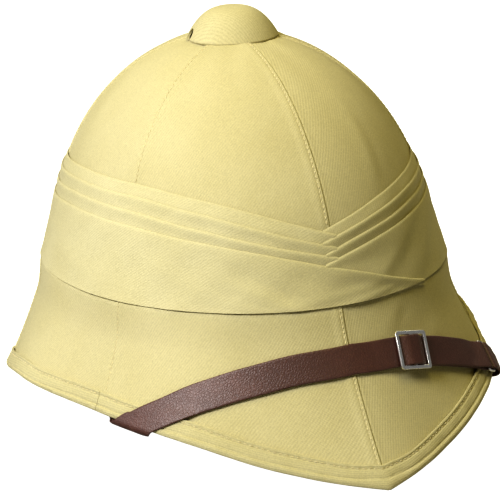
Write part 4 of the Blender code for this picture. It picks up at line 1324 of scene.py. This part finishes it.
def anchor_lift(length, way):
    """The strap's hidden end lies on the body, below the tape's inner face."""
    on_body = SHELL_INNER_DEPTH - TAPE_INNER_DEPTH + STRAP_MIDDLE
    flat_end = length_at(way * ANCHOR_AZIMUTH) + way * 2 * STUD_SETBACK
    share = min(1.0, max(0.0, way * (length - flat_end) / ANCHOR_RAMP))
    return on_body + (STRAP_MIDDLE - on_body) * share


def make_strap():
    anchor = length_at(ANCHOR_AZIMUTH)
    slide = length_at(SLIDE_AZIMUTH)
    ring = length_at(RING_AZIMUTH)
    upper = STRAP_MIDDLE + STRAP_PITCH
    over_bar = SLIDE_LIFT + SLIDE_THICKNESS / 2 + GAP + STRAP_THICKNESS / 2
    half = SLIDE_LENGTH / 2
    run = spread(anchor, slide - 2.2 * half, 120)
    profile = [(length, anchor_lift(length, 1)) for length in run]
    way = ((-1.2, upper), (-0.82, upper), (-0.30, over_bar), (0.30, over_bar), (0.82, upper), (1.2, upper))
    profile += [(slide + place * half, lift) for place, lift in way]
    profile.append((ring - 1.5 * FOLD_RADIUS - 0.006, upper))
    profile += ring_fold(ring, 1)
    profile += [(ring - RING_RAMP, STRAP_MIDDLE), (slide, STRAP_MIDDLE)]
    data = strap_mesh("leather_strap", rounded_profile(profile, 0.0010))
    return add_piece("leather_strap", data, LEATHER, ["chin_strap"])


def make_tab():
    bar = ring_end()
    anchor = length_at(-ANCHOR_AZIMUTH)
    upper = STRAP_MIDDLE + STRAP_PITCH
    turned_in = bar + 0.026
    profile = [(length, anchor_lift(length, -1)) for length in spread(anchor, turned_in, 60)]
    profile += [(bar + FOLD_BACK, upper)] + ring_fold(bar, -1) + [(bar + FOLD_BACK / 2, STRAP_MIDDLE)]
    data = strap_mesh("leather_tab", rounded_profile(profile, 0.0008))
    return add_piece("leather_tab", data, LEATHER, ["ring_tab"])


def rounded_rectangle(middle, length, width, radius, corner_steps):
    points = []
    for side, up, start in ((1, 1, 0), (-1, 1, 90), (-1, -1, 180), (1, -1, 270)):
        for step in range(corner_steps + 1):
            angle = math.radians(start + 90 * step / corner_steps)
            x = middle + side * (length / 2 - radius) + radius * math.cos(angle)
            y = up * (width / 2 - radius) + radius * math.sin(angle)
            points.append((x, y))
    return points


def curve_mesh(name, loops, matrix, **values):
    """A mesh from closed outlines in a curve's plane."""
    curve = bpy.data.curves.new(name, "CURVE")
    for key, value in values.items():
        setattr(curve, key, value)
    for loop in loops:
        spline = curve.splines.new("POLY")
        spline.points.add(len(loop) - 1)
        for point, (x, y) in zip(spline.points, loop):
            point.co = (x, y, 0.0, 1.0)
        spline.use_cyclic_u = True
    thing = new_object(name, curve)
    bpy.context.view_layer.update()
    data = bpy.data.meshes.new_from_object(thing.evaluated_get(bpy.context.evaluated_depsgraph_get()))
    bpy.data.objects.remove(thing)
    mesh = bmesh.new()
    mesh.from_mesh(data)
    bmesh.ops.remove_doubles(mesh, verts=mesh.verts, dist=0.00001)
    mesh.to_mesh(data)
    mesh.free()
    data.transform(matrix)
    data.name = name
    tidy_mesh(data)
    return data


def make_slide():
    window = (SLIDE_LENGTH - 3 * SLIDE_BAR) / 2
    shift = (window + SLIDE_BAR) / 2
    soft = 0.00035
    opening = SLIDE_WIDTH - 2 * SLIDE_BAR + 2 * soft
    loops = [rounded_rectangle(0.0, SLIDE_LENGTH - 2 * soft, SLIDE_WIDTH - 2 * soft, 0.0014, 6)]
    for middle in (-shift, shift):
        loops.append(rounded_rectangle(middle, window + 2 * soft, opening, 0.0006, 4))
    matrix = strip_matrix(length_at(SLIDE_AZIMUTH), SLIDE_LIFT)
    data = curve_mesh(
        "buckle_slide", loops, matrix, dimensions="2D", fill_mode="BOTH",
        extrude=SLIDE_THICKNESS / 2 - soft, bevel_depth=soft, bevel_resolution=3,
    )
    return add_piece("buckle_slide", data, NICKEL, ["strap_slide"])


def make_ring():
    length = RING_WINDOW + 2 * RING_WIRE_RADIUS
    width = STRAP_WIDTH + 2 * (GAP + RING_WIRE_RADIUS)
    loop = rounded_rectangle(length / 2, length, width, 0.0012, 6)
    matrix = strip_matrix(length_at(RING_AZIMUTH), RING_LIFT)
    data = curve_mesh(
        "buckle_ring", [loop], matrix, dimensions="3D",
        bevel_depth=RING_WIRE_RADIUS, bevel_resolution=4,
    )
    return add_piece("buckle_ring", data, NICKEL, ["strap_ring"])


# The studio


def make_floor():
    data = bpy.data.meshes.new("floor")
    size = 6.0
    points = [(x * size, y * size, 0) for x, y in ((-1, -1), (1, -1), (1, 1), (-1, 1))]
    data.from_pydata(points, [], [(0, 1, 2, 3)])
    floor = new_object("floor", data)
    data.materials.append(floor_material("pale_floor"))


Light = namedtuple("Light", "name azimuth elevation distance size power colour")
LIGHTS = (
    Light("key", 66.0, 40.0, 2.2, 0.9, 37.5, (1.0, 1.0, 1.0)),
    Light("side", 118.0, 30.0, 2.2, 1.2, 6.0, (1.0, 1.0, 1.0)),
    Light("top", -25.0, 74.0, 2.0, 1.2, 10.5, (1.0, 0.88, 0.32)),
    Light("back", -128.0, 42.0, 2.2, 1.2, 9.0, (1.0, 0.95, 0.72)),
)
LIGHT_AIM_HEIGHT = 0.10
# The world's light in the shade, its colour, and what bright surfaces mirror of it
FILL = 0.044
FILL_COLOUR = (1.0, 0.80, 0.10)
MIRRORED = 0.19
FLOOR_GLOW = 0.75


def add_light(name, place, aim, size, power, colour):
    light = bpy.data.lights.new(name, "AREA")
    light.shape = "DISK"
    light.size = size
    light.energy = power
    light.color = colour
    thing = new_object(name, light)
    thing.location = place
    thing.rotation_euler = (Vector(aim) - place).to_track_quat("-Z", "Y").to_euler()


def make_studio():
    make_floor()
    world = bpy.data.worlds.new("studio")
    bpy.context.scene.world = world
    world.use_nodes = True
    tree = world.node_tree
    path = add_node(tree, "ShaderNodeLightPath")
    last = tree.nodes["Background"]
    last.inputs["Color"].default_value = (1.0, 1.0, 1.0, 1.0)
    last.inputs["Strength"].default_value = MIRRORED
    white = (1.0, 1.0, 1.0)
    for ray, colour, strength in (("Is Diffuse Ray", FILL_COLOUR, FILL), ("Is Camera Ray", white, 1.0)):
        other = add_node(tree, "ShaderNodeBackground", Color=(*colour, 1.0), Strength=strength)
        either = add_node(tree, "ShaderNodeMixShader")
        tree.links.new(path.outputs[ray], either.inputs[0])
        tree.links.new(last.outputs[0], either.inputs[1])
        tree.links.new(other.outputs[0], either.inputs[2])
        last = either
    tree.links.new(last.outputs[0], tree.nodes["World Output"].inputs["Surface"])
    aim = (0.0, 0.0, LIGHT_AIM_HEIGHT)
    for light in LIGHTS:
        turn = math.radians(light.azimuth)
        lift = math.radians(light.elevation)
        way = Vector((-math.sin(turn) * math.cos(lift), -math.cos(turn) * math.cos(lift), math.sin(lift)))
        add_light(light.name, Vector(aim) + way * light.distance, aim, light.size, light.power, light.colour)
    settings = bpy.context.scene.view_settings
    settings.view_transform = "Standard"
    settings.look = "High Contrast"
    settings.gamma = 0.92


# The photograph's view. Its azimuth is counted towards the wearer's left, unlike the others.
CAMERA_AZIMUTH = -23.597
CAMERA_ELEVATION = 15.764
CAMERA_ROLL = -2.512
CAMERA_DISTANCE = 1.572
CAMERA_AIM = (0.0040, -0.0018, 0.0855)
CAMERA_LENS = 205.39
CAMERA_SENSOR = 36.0


def make_camera():
    turn = math.radians(CAMERA_AZIMUTH)
    lift = math.radians(CAMERA_ELEVATION)
    roll = math.radians(CAMERA_ROLL)
    back = Vector((math.sin(turn) * math.cos(lift), -math.cos(turn) * math.cos(lift), math.sin(lift)))
    right = Vector((math.cos(turn), math.sin(turn), 0.0))
    up = back.cross(right)
    x_axis = right * math.cos(roll) + up * math.sin(roll)
    y_axis = up * math.cos(roll) - right * math.sin(roll)
    target = AXIS + Vector(CAMERA_AIM)
    data = bpy.data.cameras.new("camera")
    data.sensor_width = CAMERA_SENSOR
    data.lens = CAMERA_LENS
    camera = new_object("camera", data)
    matrix = Matrix((x_axis, y_axis, back)).transposed().to_4x4()
    camera.matrix_world = Matrix.Translation(target + back * CAMERA_DISTANCE) @ matrix
    bpy.context.scene.camera = camera


def dress_small_metal():
    for node in ("button_post", "anchor_stud_right", "anchor_stud_left"):
        for slot in frame["nodes"][node].material_slots:
            slot.material = NICKEL


make_camera()
make_shell()
for number in range(len(GORES)):
    make_gore(number)
    seam_stitches(number)
make_tape()
tape_stitches()
for pleat in range(len(PLEATS)):
    make_pleat(pleat)
make_button()
make_strap()
make_tab()
make_slide()
make_ring()
dress_small_metal()
make_studio()
